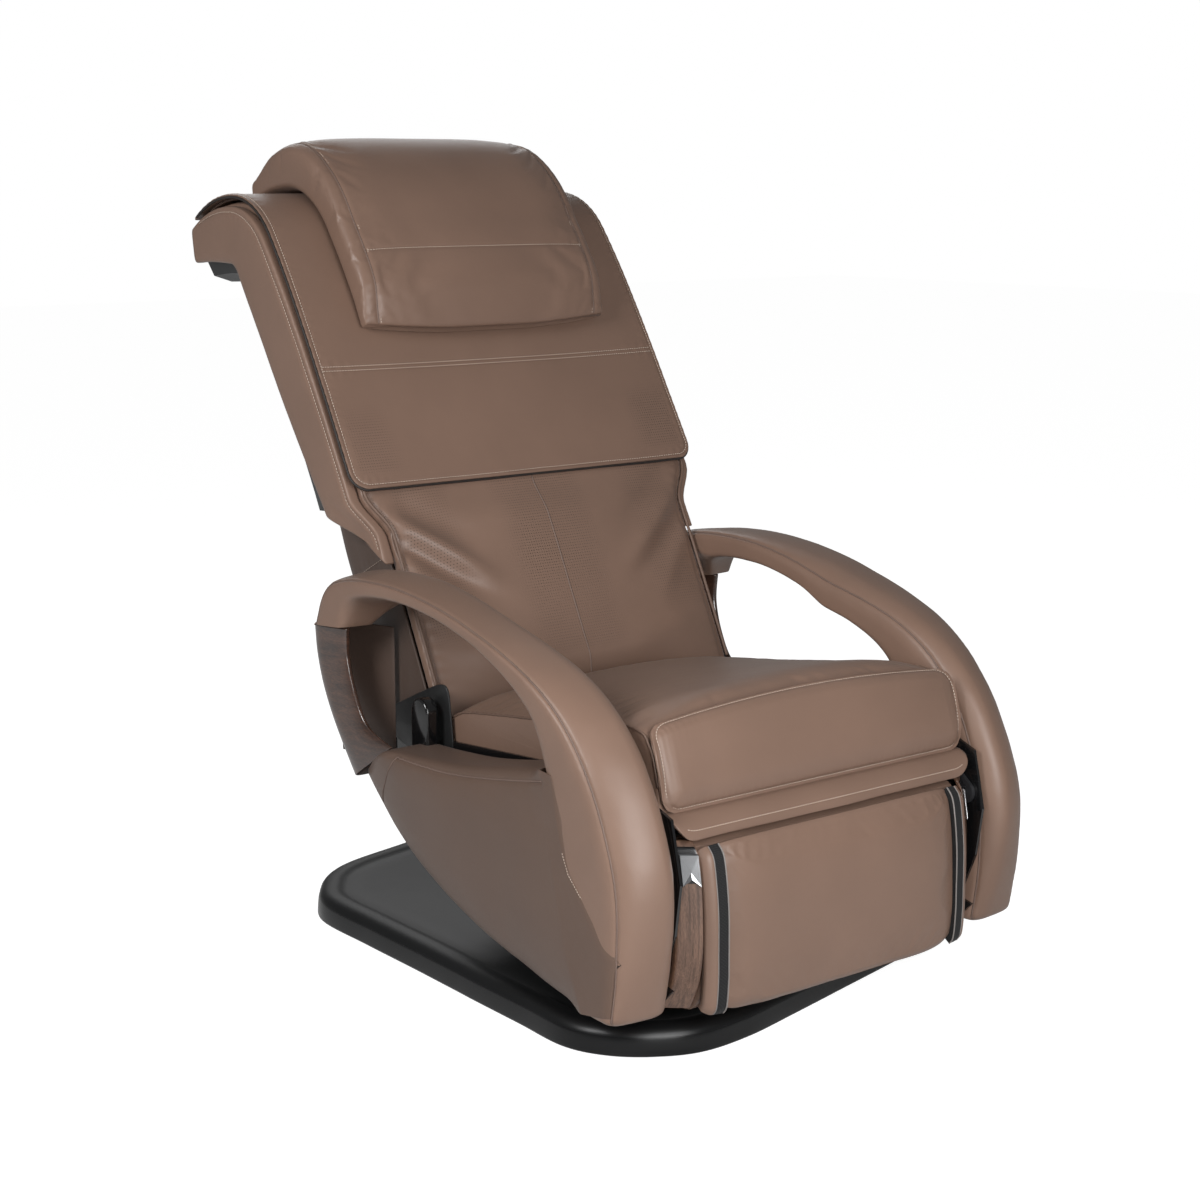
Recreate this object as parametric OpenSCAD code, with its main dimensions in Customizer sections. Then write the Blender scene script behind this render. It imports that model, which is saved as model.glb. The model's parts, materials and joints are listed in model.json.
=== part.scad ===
// Reclining massage chair on a swivel base, with a flip-over calf massager.
// Frame: +Z up, the sitter faces -Y, X = 0 is the mirror plane, Z = 0 is the
// floor and the origin lies on the floor under the swivel axis. Millimetres.

/* [Base] */
// Width of the floor base near its front
base_w = 788; // [740:1:820]
// Length of the base in front of the swivel axis
base_front = 399; // [380:1:420]
// Length of the base behind the swivel axis
base_rear = 449; // [420:1:470]
// Turn of the base under the seat, in degrees
base_turn = 13; // [-180:1:180]
// Height of the base cover at its rim
base_h = 40; // [34:1:46]
// Height of the rubber glides under the base
glide_h = 6; // [4:1:9]
// Thickness of the steel base plate
base_plate_t = 4; // [3:0.5:6]

/* [Swivel] */
// Diameter of the fixed swivel column
column_d = 90; // [70:1:110]
// Height of the top of the swivel column
column_top = 104; // [98:1:110]
// Wall of the swivel sleeve that turns on the column
sleeve_wall = 12; // [8:1:16]
// Radial running clearance of every shaft in its bore
run_clear = 0.05; // [0.03:0.01:0.09]

/* [Arm loops] */
// Half of the width over the arm loops
arm_out = 359; // [350:1:385]
// Half of the clear width between the arm loops
arm_in = 268; // [266:1:274]
// Height of the arm rest's crown
arm_top = 547; // [525:1:565]
// Height of the lower end of the arm loop
arm_low = 68; // [62:1:80]
// Foremost point of the arm loop, in front of the swivel axis
arm_front = 489; // [480:1:515]
// Rearmost point of the arm loop, behind the swivel axis
arm_rear = 238; // [225:1:245]
// Drop of the arm pad's inner lower edge
arm_inner_drop = 36; // [20:1:44]
// Bulge of the outer side panel beyond the arm loop's side
panel_bulge = 5; // [2:0.5:8]

/* [Seat] */
// Half width of the seat cushion
seat_half_w = 262; // [250:0.5:262.5]
// Height of the seat cushion's side seam at the backrest
seat_rear_h = 364; // [350:1:372]
// Height of the seat cushion's front crest
seat_front_h = 427; // [415:1:440]
// Underside of the seat cushion
seat_low = 302; // [296:1:310]
// Front face of the seat, in front of the swivel axis
seat_front = 440; // [430:1:450]
// Rear face of the seat cushion, behind the swivel axis
seat_rear = 36; // [30:1:40]
// Crown of the seat cushion in its middle
seat_crown = 16; // [8:1:24]
// Thickness of the padded flap over the seat's front edge
seat_flap_t = 20; // [14:1:22]
// Thickness of the seat board
seat_board_t = 8; // [6:1:12]

/* [Backrest] */
// Half width of the backrest over its side panels
back_half_w = 311; // [300:1:318]
// Half width of the backrest between the arms
waist_half_w = 261.5; // [250:0.5:262]
// Thickness of a padded side panel of the back
back_side_t = 21; // [16:1:26]
// Thickness of the front back pad
back_pad_t = 28; // [24:1:32]
// Lean of the back at the seat, from the vertical, in degrees
lean_seat = 26; // [22:0.5:28]
// Lean at the end of the lumbar stretch
lean_lumbar = 28; // [26:0.5:30]
// Lean at the shoulders
lean_shoulder = 33; // [30:0.5:35]
// Lean at the neck
lean_neck = 38; // [35:0.5:42]
// Lean where the top has rolled over
lean_roll = 92; // [85:1:96]
// Lean at the rear tip of the rolled top
lean_tip = 98; // [92:1:104]
// Length of the lumbar stretch
lumbar_l = 280; // [260:1:300]
// Length of the shoulder stretch
shoulder_l = 320; // [300:1:340]
// Length of the neck stretch
neck_l = 115; // [100:1:130]
// Length of the rolled-over stretch
roll_l = 125; // [110:1:140]
// Length of the rear tip
tip_l = 116; // [90:1:130]
// Thickness of the hanging leather flap
flap_t = 6; // [4:0.5:8]
// Depth of the back at its rear shell
back_depth = 152; // [140:1:160]
// Depth of the shell at the tip of the rolled top
tip_depth = 120; // [100:1:140]
// Wall of the moulded back shell
shell_wall = 4; // [3:0.5:5]

/* [Head pillow] */
// Half width of the head pillow
pillow_half_w = 218; // [190:1:240]
// Greatest thickness of the head pillow
pillow_t = 83; // [60:1:90]
// Travel of the head pillow along the back
pillow_travel = 60; // [40:1:80]

/* [Leg rest] */
// Half width of the ottoman's leather body
ottoman_half_w = 228; // [215:1:229]
// Half width of the ottoman's front pad
ottoman_pad_half_w = 205; // [190:1:214]
// Height of the ottoman
ottoman_h = 216; // [204:1:220]
// Depth of the ottoman's body behind its trunnions
ottoman_d = 56; // [50:1:58]
// Thickness of the ottoman's front pad
ottoman_pad_t = 18; // [12:1:19]
// Radius of the two calf wells
calf_r = 58; // [48:1:62]
// Distance between the centres of the calf wells
calf_pitch = 214; // [190:1:230]
// Radius of the ottoman's trunnions
trunnion_r = 10; // [8:0.5:12]
// Radius of the leg rest's pivot pins
leg_pin_r = 6; // [5:0.5:6.5]
// Radius of the leg rest's lever, on which the push links act
leg_lever = 34; // [30:1:38]
// Lift of the leg rest when fully raised, in degrees
leg_travel = 85; // [70:1:85]

/* [Recline] */
// Recline pivot behind the swivel axis
pivot_y = 100; // [96:1:104]
// Recline pivot above the floor
pivot_z = 295; // [290:1:300]
// Recline of the backrest, in degrees
recline_travel = 40; // [30:1:40]
// Radius of the pivot pins
pin_r = 8; // [6:0.5:9]
// Thickness of the steel frame plates
plate_t = 5; // [4:0.5:5.5]
// Radius of the steel frame tubes
tube_r = 11; // [9:0.5:12]
// Bore of the recline actuator's rod guide
rod_r = 9; // [7:0.5:10]

/* [Massage gear] */
// Travel of the roller carriage along its rails
carriage_travel = 300; // [240:1:320]
// Radius of a massage roller
roller_r = 30; // [24:1:32]
// Width of a massage roller
roller_w = 26; // [20:1:30]
// Distance between the two guide rails
rail_pitch = 250; // [220:1:270]

/* [Handset] */
// Width of the handset
handset_w = 66; // [56:1:72]
// Thickness of the handset
handset_t = 20; // [16:1:22]
// Height of the handset
handset_h = 152; // [140:1:165]
// Travel of a push button
button_travel = 1.4; // [0.8:0.1:2]

/* [Hidden] */

seat_gap = 0.3;             // clearance where a soft piece lies on its neighbour
leather = [0.42, 0.32, 0.27];
leather_dark = [0.33, 0.25, 0.21];
black = [0.05, 0.05, 0.055];
walnut = [0.25, 0.13, 0.08];
steel = [0.62, 0.63, 0.65];

// Places that follow from the driving sizes
cover_low = glide_h + base_plate_t;
arm_depth = arm_front + arm_rear;
arm_height = arm_top - arm_low;
liner_t = arm_in - seat_half_w - 2;
liner_in = arm_in - liner_t;
frame_out = liner_in - 0.2;
frame_in = frame_out - plate_t;
link_out = frame_in - 3;
link_in = link_out - plate_t;
lever_out = link_in - 3;
lever_in = lever_out - plate_t;
back_lever = leg_lever * sin(leg_travel / 2) / sin(recline_travel / 2);
back_start = [52, 371];
back_legs = [[lumbar_l, lean_lumbar], [shoulder_l, lean_shoulder], [neck_l, lean_neck],
    [roll_l, lean_roll], [tip_l, lean_tip]];
back_l = lumbar_l + shoulder_l + neck_l + roll_l + tip_l;
waist_s = lumbar_l - 42;
wide_s = lumbar_l + 22;
flap_low_s = lumbar_l + 26;
leg_pivot = [-(seat_front - 4), 256];
ottoman_c = [-413, 170];
cross_tube = [-270, 170];
head_low = column_top + seat_gap;

// Helpers

function lerp(a, b, t) = a + (b - a) * t;
function smooth(a, b, v) = let(t = max(0, min(1, (v - a) / (b - a)))) t * t * (3 - 2 * t);
function signed_pow(v, e) = sign(v) * pow(abs(v), e);
function held(list, i) = list[max(0, min(len(list) - 1, i))];

// Smooth curve through a list of numbers or points, u from 0 to 1
function spline(list, u) =
    let(s = min(max(u, 0) * (len(list) - 1), len(list) - 1.000001), i = floor(s), t = s - i)
    let(a = held(list, i - 1), b = held(list, i), c = held(list, i + 1), d = held(list, i + 2))
    (2 * b + (c - a) * t + (2 * a - 5 * b + 4 * c - d) * t * t
        + (3 * b - a - 3 * c + d) * t * t * t) / 2;

// Rounded square of side 2, as n points going round; a higher power is squarer
function soft_square(n, power = 4.5) =
    [for (j = [0:n - 1]) let(a = 360 * (j + 0.5) / n)
        [signed_pow(cos(a), 2 / power), signed_pow(sin(a), 2 / power)]];

// Closed skin through rings of equal length, which run out one way and come back the
// other, so that two facing points give the middle of each end
module skin(rings) {
    n = len(rings[0]);
    m = len(rings);
    q = floor(n / 4);
    facing = q + floor(n / 2);
    first_mid = (rings[0][q] + rings[0][facing]) / 2;
    last_mid = (rings[m - 1][q] + rings[m - 1][facing]) / 2;
    polyhedron(
        points = concat([for (r = rings) for (p = r) p], [first_mid, last_mid]),
        faces = concat(
            [for (j = [0:n - 1]) [m * n, (j + 1) % n, j]],
            [for (j = [0:n - 1]) [m * n + 1, (m - 1) * n + j, (m - 1) * n + (j + 1) % n]],
            [for (i = [0:m - 2]) for (j = [0:n - 1])
                let(a = i * n + j, b = i * n + (j + 1) % n)
                each [[a, b, b + n], [a, b + n, a + n]]]));
}

// Closed skin through rings, the last joined to the first
module ring_skin(rings) {
    n = len(rings[0]);
    m = len(rings);
    polyhedron(
        points = [for (r = rings) for (p = r) p],
        faces = [for (i = [0:m - 1]) for (j = [0:n - 1])
            let(a = i * n + j, b = i * n + (j + 1) % n,
                c = ((i + 1) % m) * n + (j + 1) % n, d = ((i + 1) % m) * n + j)
            each [[a, b, c], [a, c, d]]]);
}

// Open channel: every ring holds an outer run and the inner run back
module channel_skin(rings) {
    n = len(rings[0]);
    m = len(rings);
    h = n / 2;
    polyhedron(
        points = [for (r = rings) for (p = r) p],
        faces = concat(
            [for (j = [0:h - 2]) each [[j, n - 1 - j, j + 1], [j + 1, n - 1 - j, n - 2 - j]]],
            [for (j = [0:h - 2]) let(k = (m - 1) * n)
                each [[k + j, k + j + 1, k + n - 1 - j], [k + j + 1, k + n - 2 - j, k + n - 1 - j]]],
            [for (i = [0:m - 2]) for (j = [0:n - 1])
                let(a = i * n + j, b = i * n + (j + 1) % n)
                each [[a, b, b + n], [a, b + n, a + n]]]));
}

// Flat outline in side view, with first axis rearwards and second axis up
module side_x(x0, x1) {
    translate([x0, 0, 0]) rotate([90, 0, 90]) linear_extrude(x1 - x0) children();
}

// Round bar across the chair at a place in side view
module bar_x(p, x0, x1, r) {
    translate([x0, p[0], p[1]]) rotate([0, 90, 0]) cylinder(h = x1 - x0, r = r, $fn = 64);
}

module disc(p, r) { translate(p) circle(r = r, $fn = 64); }

// Straight strip of plate between two places in side view
module strap(a, b, w) {
    d = b - a;
    translate(a) rotate(atan2(d[1], d[0])) translate([0, -w / 2]) square([norm(d), w]);
}

module both_sides() { children(); mirror([1, 0, 0]) children(); }

// Backrest path: s runs up the front of the back, n stands out of it
function arc_end(p, a, l, turn, s) =
    abs(turn) < 0.01 ? [p[0] + s * sin(a), p[1] + s * cos(a), a]
    : let(r = l / (turn * PI / 180), e = a + turn * s / l)
        [p[0] + r * (cos(a) - cos(e)), p[1] + r * (sin(e) - sin(a)), e];
function walk(s, i, p, a) =
    let(l = back_legs[i][0], turn = back_legs[i][1] - a)
    (s <= l || i == len(back_legs) - 1) ? arc_end(p, a, l, turn, s)
    : let(q = arc_end(p, a, l, turn, l)) walk(s - l, i + 1, [q[0], q[1]], back_legs[i][1]);
function on_path(s) = walk(s, 0, back_start, lean_seat);
function back_point(s, n) = let(q = on_path(s)) [q[0] - n * cos(q[2]), q[1] + n * sin(q[2])];
function back_xyz(x, s, n) = let(p = back_point(s, n)) [x, p[0], p[1]];

// Half width of the back's padding, drawn in at the waist between the arms
function padding_half_w(s) =
    lerp(waist_half_w, back_half_w - back_side_t - 1, smooth(waist_s, wide_s, s));
// Depth of the side panels and of the rear shell along the back
function side_depth(s) = spline([66, 84, 98, 107, 109, 104, 95, 88], (s - 200) / (back_l - 200));
function shell_depth(s) =
    lerp(back_depth + 6, back_depth, smooth(waist_s, wide_s + 60, s))
    - (back_depth - tip_depth) * smooth(back_l - 300, back_l - 60, s);

// Base

// Half of the base's outline from the middle of its front to the middle of its
// rear: parts of the half width, and parts of the length before or behind the axis
base_half = [[0, -1], [0.3, -1], [0.56, -0.995], [0.76, -0.955], [0.89, -0.86], [0.975, -0.735],
    [1, -0.58], [0.942, -0.35], [0.867, -0.05], [0.79, 0.22], [0.716, 0.49], [0.635, 0.76],
    [0.51, 0.89], [0.38, 0.965], [0.23, 0.997], [0, 1]];
function base_side(u) = let(p = spline(base_half, u))
    [p[0] * base_w / 2, p[1] * (p[1] < 0 ? base_front : base_rear)];
function base_outline(inset, steps = 34) =
    let(half = [for (k = [0:steps]) let(u = k / steps, p = base_side(u),
            d = base_side(min(1, u + 0.01)) - base_side(max(0, u - 0.01)))
        k == 0 ? p + [0, inset] : k == steps ? p - [0, inset]
            : p - inset * [d[1], -d[0]] / norm(d)])
    concat(half, [for (k = [steps - 1:-1:1]) [-half[k][0], half[k][1]]]);
module turned() { rotate(base_turn) children(); }
function base_ring(inset, z) = [for (p = base_outline(inset)) [p[0], p[1], z]];
function hole_ring(r, z) =
    [for (p = base_outline(0)) let(l = norm(p)) [p[0] * r / l, p[1] * r / l, z]];

flange_r = column_d / 2 + 45;
skirt = 9;
skirt_low = 2;

module base_cover() {
    rim = 30;
    color(black) turned() ring_skin([
        base_ring(skirt, skirt_low),
        base_ring(2, skirt_low),
        base_ring(0, skirt_low + 3),
        base_ring(1.5, base_h - 14),
        base_ring(8, base_h - 5),
        base_ring(rim - 8, base_h),
        base_ring(rim, base_h - 0.5),
        base_ring(rim + 12, base_h - 5),
        base_ring(rim + 60, base_h - 3),
        hole_ring(flange_r + 14, base_h),
        hole_ring(flange_r + 2, base_h - 4),
        hole_ring(flange_r + 2, cover_low),
        base_ring(skirt + 2, cover_low)]);
}

module base_plate() {
    color(steel) turned() difference() {
        translate([0, 0, glide_h]) linear_extrude(base_plate_t)
            polygon(base_outline(2 * skirt));
        for (k = [0:5]) rotate(60 * k) translate([flange_r - 14, 0, 0])
            cylinder(h = 3 * glide_h, r = bolt_r, $fn = 32);
    }
}

module floor_glides() {
    color(black) {
        cylinder(h = glide_h, r = flange_r - 22, $fn = 64);
        turned() for (x = [-1, 1]) for (p = [[0.72, -0.74 * base_front], [0.42, 0.72 * base_rear]])
            translate([x * p[0] * base_w / 2, p[1], 0]) cylinder(h = glide_h, r = 22, $fn = 48);
    }
}

bolt_r = 4.2;
module swivel_column() {
    color(steel) turned() translate([0, 0, cover_low]) difference() {
        union() {
            cylinder(h = 6, r = flange_r, $fn = 96);
            cylinder(h = 14, r = column_d / 2 + 12, $fn = 96);
            cylinder(h = column_top - cover_low, r = column_d / 2, $fn = 96);
        }
        translate([0, 0, 14]) cylinder(h = column_top, r = column_d / 2 - 7, $fn = 96);
        for (k = [0:5]) rotate(60 * k) translate([flange_r - 14, 0, -1])
            cylinder(h = 9, r = bolt_r, $fn = 32);
    }
}

// Seat frame

head_plate_t = 8;
tub_low = head_low + head_plate_t;
tub_wall = 3;
tub_half_w = lever_in - 19;
tub_front = -256;
tub_rear = 70;
tub_top = 242;
sweep_r = 106;
spine_low = tub_low + tub_wall;
spine_h = 30;
spine_x = 90;
tube_front = [-232, 268];
tube_rear = [20, 268];
board_low = seat_low - seat_board_t;
pivot = [pivot_y, pivot_z];
link_rear = pivot + back_lever * [sin(recline_travel / 2), -cos(recline_travel / 2)];
link_front = leg_pivot + leg_lever * [cos(leg_travel / 2 - 90), sin(leg_travel / 2 - 90)];
link_pin_r = 5;
actuator_pin = [-235, 185];
actuator_dir = link_rear - actuator_pin;
actuator_l = norm(actuator_dir);
actuator_tilt = atan2(actuator_dir[1], actuator_dir[0]);

module swivel_head() {
    color(steel) difference() {
        union() {
            translate([0, 0, cover_low + 22])
                cylinder(h = head_low - cover_low - 22, r = column_d / 2 + sleeve_wall, $fn = 96);
            translate([-120, -130, head_low]) cube([240, 260, head_plate_t]);
        }
        translate([0, 0, cover_low])
            cylinder(h = head_low - cover_low, r = column_d / 2 + run_clear, $fn = 96);
        for (x = [-1, 1], y = [-1, 1]) translate([x * spine_x, y * 100, 0])
            cylinder(h = 2 * head_low, r = 5.2, $fn = 32);
    }
}

module frame_plate() {
    front = leg_pivot[0] + 20;
    difference() {
        union() {
            disc(pivot, 34);
            disc(leg_pivot, 16);
            polygon([[pivot_y - 30, pivot_z - 14], [60, board_low], [front, board_low - 3],
                [leg_pivot[0] - 8, leg_pivot[1] + 14], [leg_pivot[0] - 3, leg_pivot[1] - 15.7],
                [front + 60, 246], [pivot_y - 10, 262]]);
        }
        disc([tube_front[0] - 100, 267], 9);
        for (k = [0:3]) disc([tube_front[0] + 40 + 50 * k, 270], 10);
    }
}

module seat_frame() {
    color(steel) difference() {
        union() {
            both_sides() {
                side_x(frame_in, frame_out) frame_plate();
                bar_x(pivot, lever_in - 4, frame_out, pin_r);
                translate([spine_x - 15, -250, spine_low]) cube([30, 295, spine_h]);
                for (p = [tube_front, tube_rear])
                    translate([spine_x - 5, p[0] - 15, spine_low + spine_h])
                        cube([10, 30, p[1] - spine_low - spine_h]);
                translate([14, actuator_pin[0] - 16, spine_low])
                    cube([6, 32, actuator_pin[1] - spine_low]);
                bar_x(actuator_pin, 14, 20, 16);
            }
            for (p = [tube_front, tube_rear]) bar_x(p, -frame_in, frame_in, tube_r);
            bar_x(actuator_pin, -20, 20, 6);
            translate([-spine_x, actuator_pin[0] - 16, spine_low]) cube([2 * spine_x, 32, 8]);
        }
        for (p = [tube_front, tube_rear])
            bar_x(p, -frame_in - 1, frame_in + 1, tube_r - 2.5);
        bar_x(leg_pivot, -frame_out - 1, frame_out + 1, leg_pin_r + run_clear);
    }
}

// Outline of the tub in side view, drawn in by a wall
function tub_outline(w) = concat(
    [[tub_front + w, tub_top + w * 20], [tub_front + w, tub_low + w], [tub_rear - w, tub_low + w]],
    [for (k = [0:16])
        let(a = lerp(-90 - asin((pivot_y - tub_rear + w) / (sweep_r - w)), -22, k / 16))
        pivot + (sweep_r - w) * [cos(a), sin(a)]],
    [[pivot_y, tub_top + w * 20]]);

module underbody_cover() {
    rib = 6;
    color(black) difference() {
        union() {
            side_x(-tub_half_w, tub_half_w) difference() {
                polygon(tub_outline(0));
                polygon(tub_outline(tub_wall));
                translate([tub_front, tub_top]) square([600, 200]);
                disc(pivot, sweep_r - tub_wall);
            }
            both_sides() side_x(tub_half_w - tub_wall, tub_half_w) difference() {
                polygon(tub_outline(0));
                disc(pivot, back_lever + tube_r + 5);
                translate([tub_front, tub_top]) square([600, 200]);
            }
        }
        for (x = [-1, 1], y = [-1, 1]) translate([x * spine_x, y * 100, 0])
            cylinder(h = 2 * head_low, r = 5.2, $fn = 32);
        for (x = [-1, 1], k = [0:6])
            translate([x * 165 - 25, tub_front + 60 + 14 * k, tub_low - 1])
                cube([50, rib, tub_wall + 2]);
        translate([-60 - inlet_w / 2, tub_rear - 10, inlet_z - 13]) cube([inlet_w, 20, 26]);
        translate([60 - rocker_w / 2, tub_rear - 10, inlet_z - 11]) cube([rocker_w, 20, 22]);
    }
}

inlet_w = 30;
inlet_z = 152;
rocker_w = 14;

module control_box() {
    x0 = -tub_half_w + tub_wall + 6;
    color(black) translate([x0, -200, spine_low]) difference() {
        cube([85, 170, 62]);
        for (k = [0:7]) translate([12, 24 + 16 * k, 54]) cube([61, 7, 9]);
    }
}

module mains_inlet() {
    color(black) difference() {
        union() {
            translate([-60 - inlet_w / 2, tub_rear - 22, inlet_z - 13]) cube([inlet_w, 22, 26]);
            translate([-60 - inlet_w / 2 - 9, tub_rear, inlet_z - 16]) cube([inlet_w + 18, 2.5, 32]);
        }
        translate([-60 - inlet_w / 2 + 3, tub_rear - 15, inlet_z - 9.5])
            cube([inlet_w - 6, 20, 19]);
    }
    color(steel) for (k = [-1, 0, 1])
        translate([-60 + 7 * k - 1, tub_rear - 16, inlet_z - 3 + 3 * abs(k)]) cube([2, 14, 5]);
}

module power_rocker() {
    color(black) side_pivot_x(60 - rocker_w / 2 + 0.5, 60 + rocker_w / 2 - 0.5);
}

// Rocker: a shallow V that tips on a round back behind the wall
module side_pivot_x(x0, x1) {
    side_x(x0, x1) {
        polygon([
            [tub_rear - 8, inlet_z - 7], [tub_rear + 1, inlet_z - 9.5],
            [tub_rear + 0.4, inlet_z], [tub_rear + 3.5, inlet_z + 9],
            [tub_rear - 8, inlet_z + 7]]);
        disc([tub_rear - 6, inlet_z], 7.5);
    }
}

// Arm loops, side panels and trims

function arm_at(f) = [arm_rear - arm_depth * f[0], arm_low + arm_height * f[1]];
arm_outer = [for (f = [[0, 0.815], [0.062, 0.962], [0.28, 1], [0.528, 0.957], [0.775, 0.846],
    [0.923, 0.672], [1, 0.41], [0.986, 0.19], [0.925, 0.0]]) arm_at(f)];
arm_inner = [for (f = [[0.122, 0.828], [0.172, 0.92], [0.335, 0.944], [0.525, 0.898],
    [0.69, 0.778], [0.748, 0.628], [0.772, 0.42], [0.802, 0.2], [0.862, 0.005]]) arm_at(f)];
arm_sag = [0.25, 0.8, 1, 1, 0.75, 0.3, 0.05, 0, 0];
arm_slope = [0.2, 0.2, 0.2, 0.28, 0.34, 0.32, 0.24, 0.18, 0.15];

// One ring of the arm loop: the pad is highest near its inner edge
function arm_ring(u, shrink) =
    let(o = spline(arm_outer, u), i = spline(arm_inner, u), h = norm(o - i), d = (o - i) / h)
    let(mid = h / 2)
    [for (q = soft_square(16, 5))
        let(f = (q[0] * shrink + 1) / 2,
            low = -arm_inner_drop * spline(arm_sag, u) * (1 - f),
            high = h * (1 - spline(arm_slope, u) * pow(f, 1.6)),
            n = lerp(mid, lerp(low, high, (q[1] + 1) / 2), shrink),
            p = i + d * n)
        [lerp(arm_in, arm_out, f), p[0], p[1]]];

module arm_loop() {
    steps = 40;
    color(leather) skin([for (k = [0:steps])
        arm_ring(k / steps, k == steps ? 0.66 : k == steps - 1 ? 0.92 : 1)]);
}
module arm_loop_left() { arm_loop(); }
module arm_loop_right() { mirror([1, 0, 0]) arm_loop(); }

panel_low = [for (f = [[0.12, 0.38], [0.255, 0.234], [0.446, 0.113], [0.65, 0.042],
    [0.852, 0.006]]) arm_at(f)];
panel_high = [for (f = [[0.262, 0.512], [0.365, 0.522], [0.487, 0.54], [0.616, 0.574],
    [0.749, 0.614]]) arm_at(f)];

// A place on the side panel: u runs forward, v runs up and f runs outward; its front
// edge follows the arm's inner edge, which sags towards the inside
function panel_at(u, v, f) =
    let(p = lerp(spline(panel_low, u), spline(panel_high, u), v),
        e = lerp(spline(panel_low, 1), spline(panel_high, 1), v),
        a = lerp(0.992, 0.633, v), i = spline(arm_inner, a), o = spline(arm_outer, a),
        edge = i - (o - i) / norm(o - i)
            * (1.5 + arm_inner_drop * spline(arm_sag, a) * (1 - f)))
    p + (edge - e) * pow(u, 4);

// Section of the panel: evenly spread up its outer face and down its inner face
panel_ring = [for (k = [0:21])
    let(b = sin(90 * ((k < 11 ? k : 21 - k) / 5 - 1)))
        [(k < 11 ? 1 : -1) * pow(1 - 0.9 * pow(abs(b), 7), 1 / 7), b]];

module side_panel() {
    steps = 16;
    closing = [0.6, 0.25, 0.03];  // rings that follow the curved edge to its middle line
    tuck = 16;                    // the middle line lies deeper than the arm's curve
    color(leather) skin([for (k = [0:steps + 3])
        let(u = min(1, k / steps), swell = 1 - pow(abs(2 * u - 1), 3),
            narrow = k > steps ? closing[k - steps - 1] : 1,
            inset = k == steps + 3 ? tuck : 0)
        [for (q = panel_ring)
            let(v = (q[1] + 1) / 2, p = panel_at(u, v, (narrow * q[0] + 1) / 2),
                low_in = 22 * pow(1 - v, 2),
                out = arm_out - 2 - low_in + panel_bulge * swell * (1 - pow(abs(q[1]), 3)))
            [lerp(arm_in, out, (narrow * q[0] + 1) / 2), p[0] + inset, p[1]]]]);
}
module side_panel_left() { side_panel(); }
module side_panel_right() {
    difference() {
        mirror([1, 0, 0]) side_panel();
        color(leather) pocket_room();
    }
}

trim_inner = [for (f = [[0.122, 0.8265], [0.12, 0.735], [0.142, 0.635], [0.182, 0.552],
    [0.2615, 0.5135]]) arm_at(f)];
trim_outer = [for (f = [[0, 0.8135], [0.004, 0.725], [0.022, 0.625], [0.06, 0.515],
    [0.1195, 0.3815]]) arm_at(f)];

module rear_trim() {
    steps = 12;
    color(walnut) skin([for (k = [0:steps])
        let(u = k / steps, o = spline(trim_outer, u), i = spline(trim_inner, u))
        [for (q = soft_square(14, 3.4))
            let(p = lerp(i, o, (q[1] + 1) / 2),
                out = lerp(arm_out - 5, arm_out - 14, u))
            [lerp(arm_in + seat_gap, out, (q[0] + 1) / 2), p[0], p[1]]]]);
}
module rear_trim_left() { rear_trim(); }
module rear_trim_right() {
    difference() {
        mirror([1, 0, 0]) rear_trim();
        color(walnut) pocket_room();
    }
}

module inner_liner() {
    low = concat(
        [for (k = [0:10]) let(p = spline(panel_low, k / 10)) [p[0] - 6, p[1] + 10]]);
    front = [for (u = [0.94, 0.86, 0.78, 0.7]) let(p = spline(arm_outer, u)) [p[0] + 26, p[1]]];
    color(black) side_x(liner_in, arm_in) polygon(concat(
        [[170, 316], [172, 300]], low, [[-436, 84], [-452, 100]], front,
        [[-400, 332], [-200, 336], [30, 318], back_point(16, -17)]));
}
module inner_liner_left() { inner_liner(); }
module inner_liner_right() { mirror([1, 0, 0]) inner_liner(); }

// Seat

module seat_board() {
    color(walnut) translate([-frame_out, -seat_front + 16, board_low])
        cube([2 * frame_out, seat_front - 16 + seat_rear - 6, seat_board_t]);
}

// Side view of the seat cushion, going round; the second value of each entry is z
seat_profile = [[seat_rear - 3, seat_low + 4], [seat_rear, seat_low + 26],
    [seat_rear - 6, seat_rear_h - 12], [seat_rear - 26, seat_rear_h + 1],
    [-60, lerp(seat_rear_h, seat_front_h, 0.2)], [-160, lerp(seat_rear_h, seat_front_h, 0.42)],
    [-260, lerp(seat_rear_h, seat_front_h, 0.68)], [-345, lerp(seat_rear_h, seat_front_h, 0.9)],
    [-seat_front + 48, seat_front_h - 10], [-seat_front + 32, seat_front_h - 34],
    [-seat_front + 22, seat_front_h - 70], [-seat_front + 18, seat_low + 16],
    [-seat_front + 22, seat_low + seat_gap], [-300, seat_low + seat_gap],
    [-100, seat_low + seat_gap], [seat_rear - 16, seat_low + seat_gap]];

module seat_cushion() {
    steps = 18;
    mid_z = (seat_low + seat_rear_h) / 2;
    color(leather) skin([for (k = [0:steps])
        let(t = -cos(180 * k / steps), edge = pow(abs(t), 9), crown = seat_crown * (1 - t * t))
        [for (p = seat_profile)
            let(top = smooth(mid_z, seat_rear_h, p[1]),
                y = p[0] + edge * (p[0] > 0 ? -4 : 3),
                z = p[1] > mid_z ? p[1] + crown * top - 9 * edge * top : p[1])
            [-t * seat_half_w, y, z]]]);
}

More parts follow.
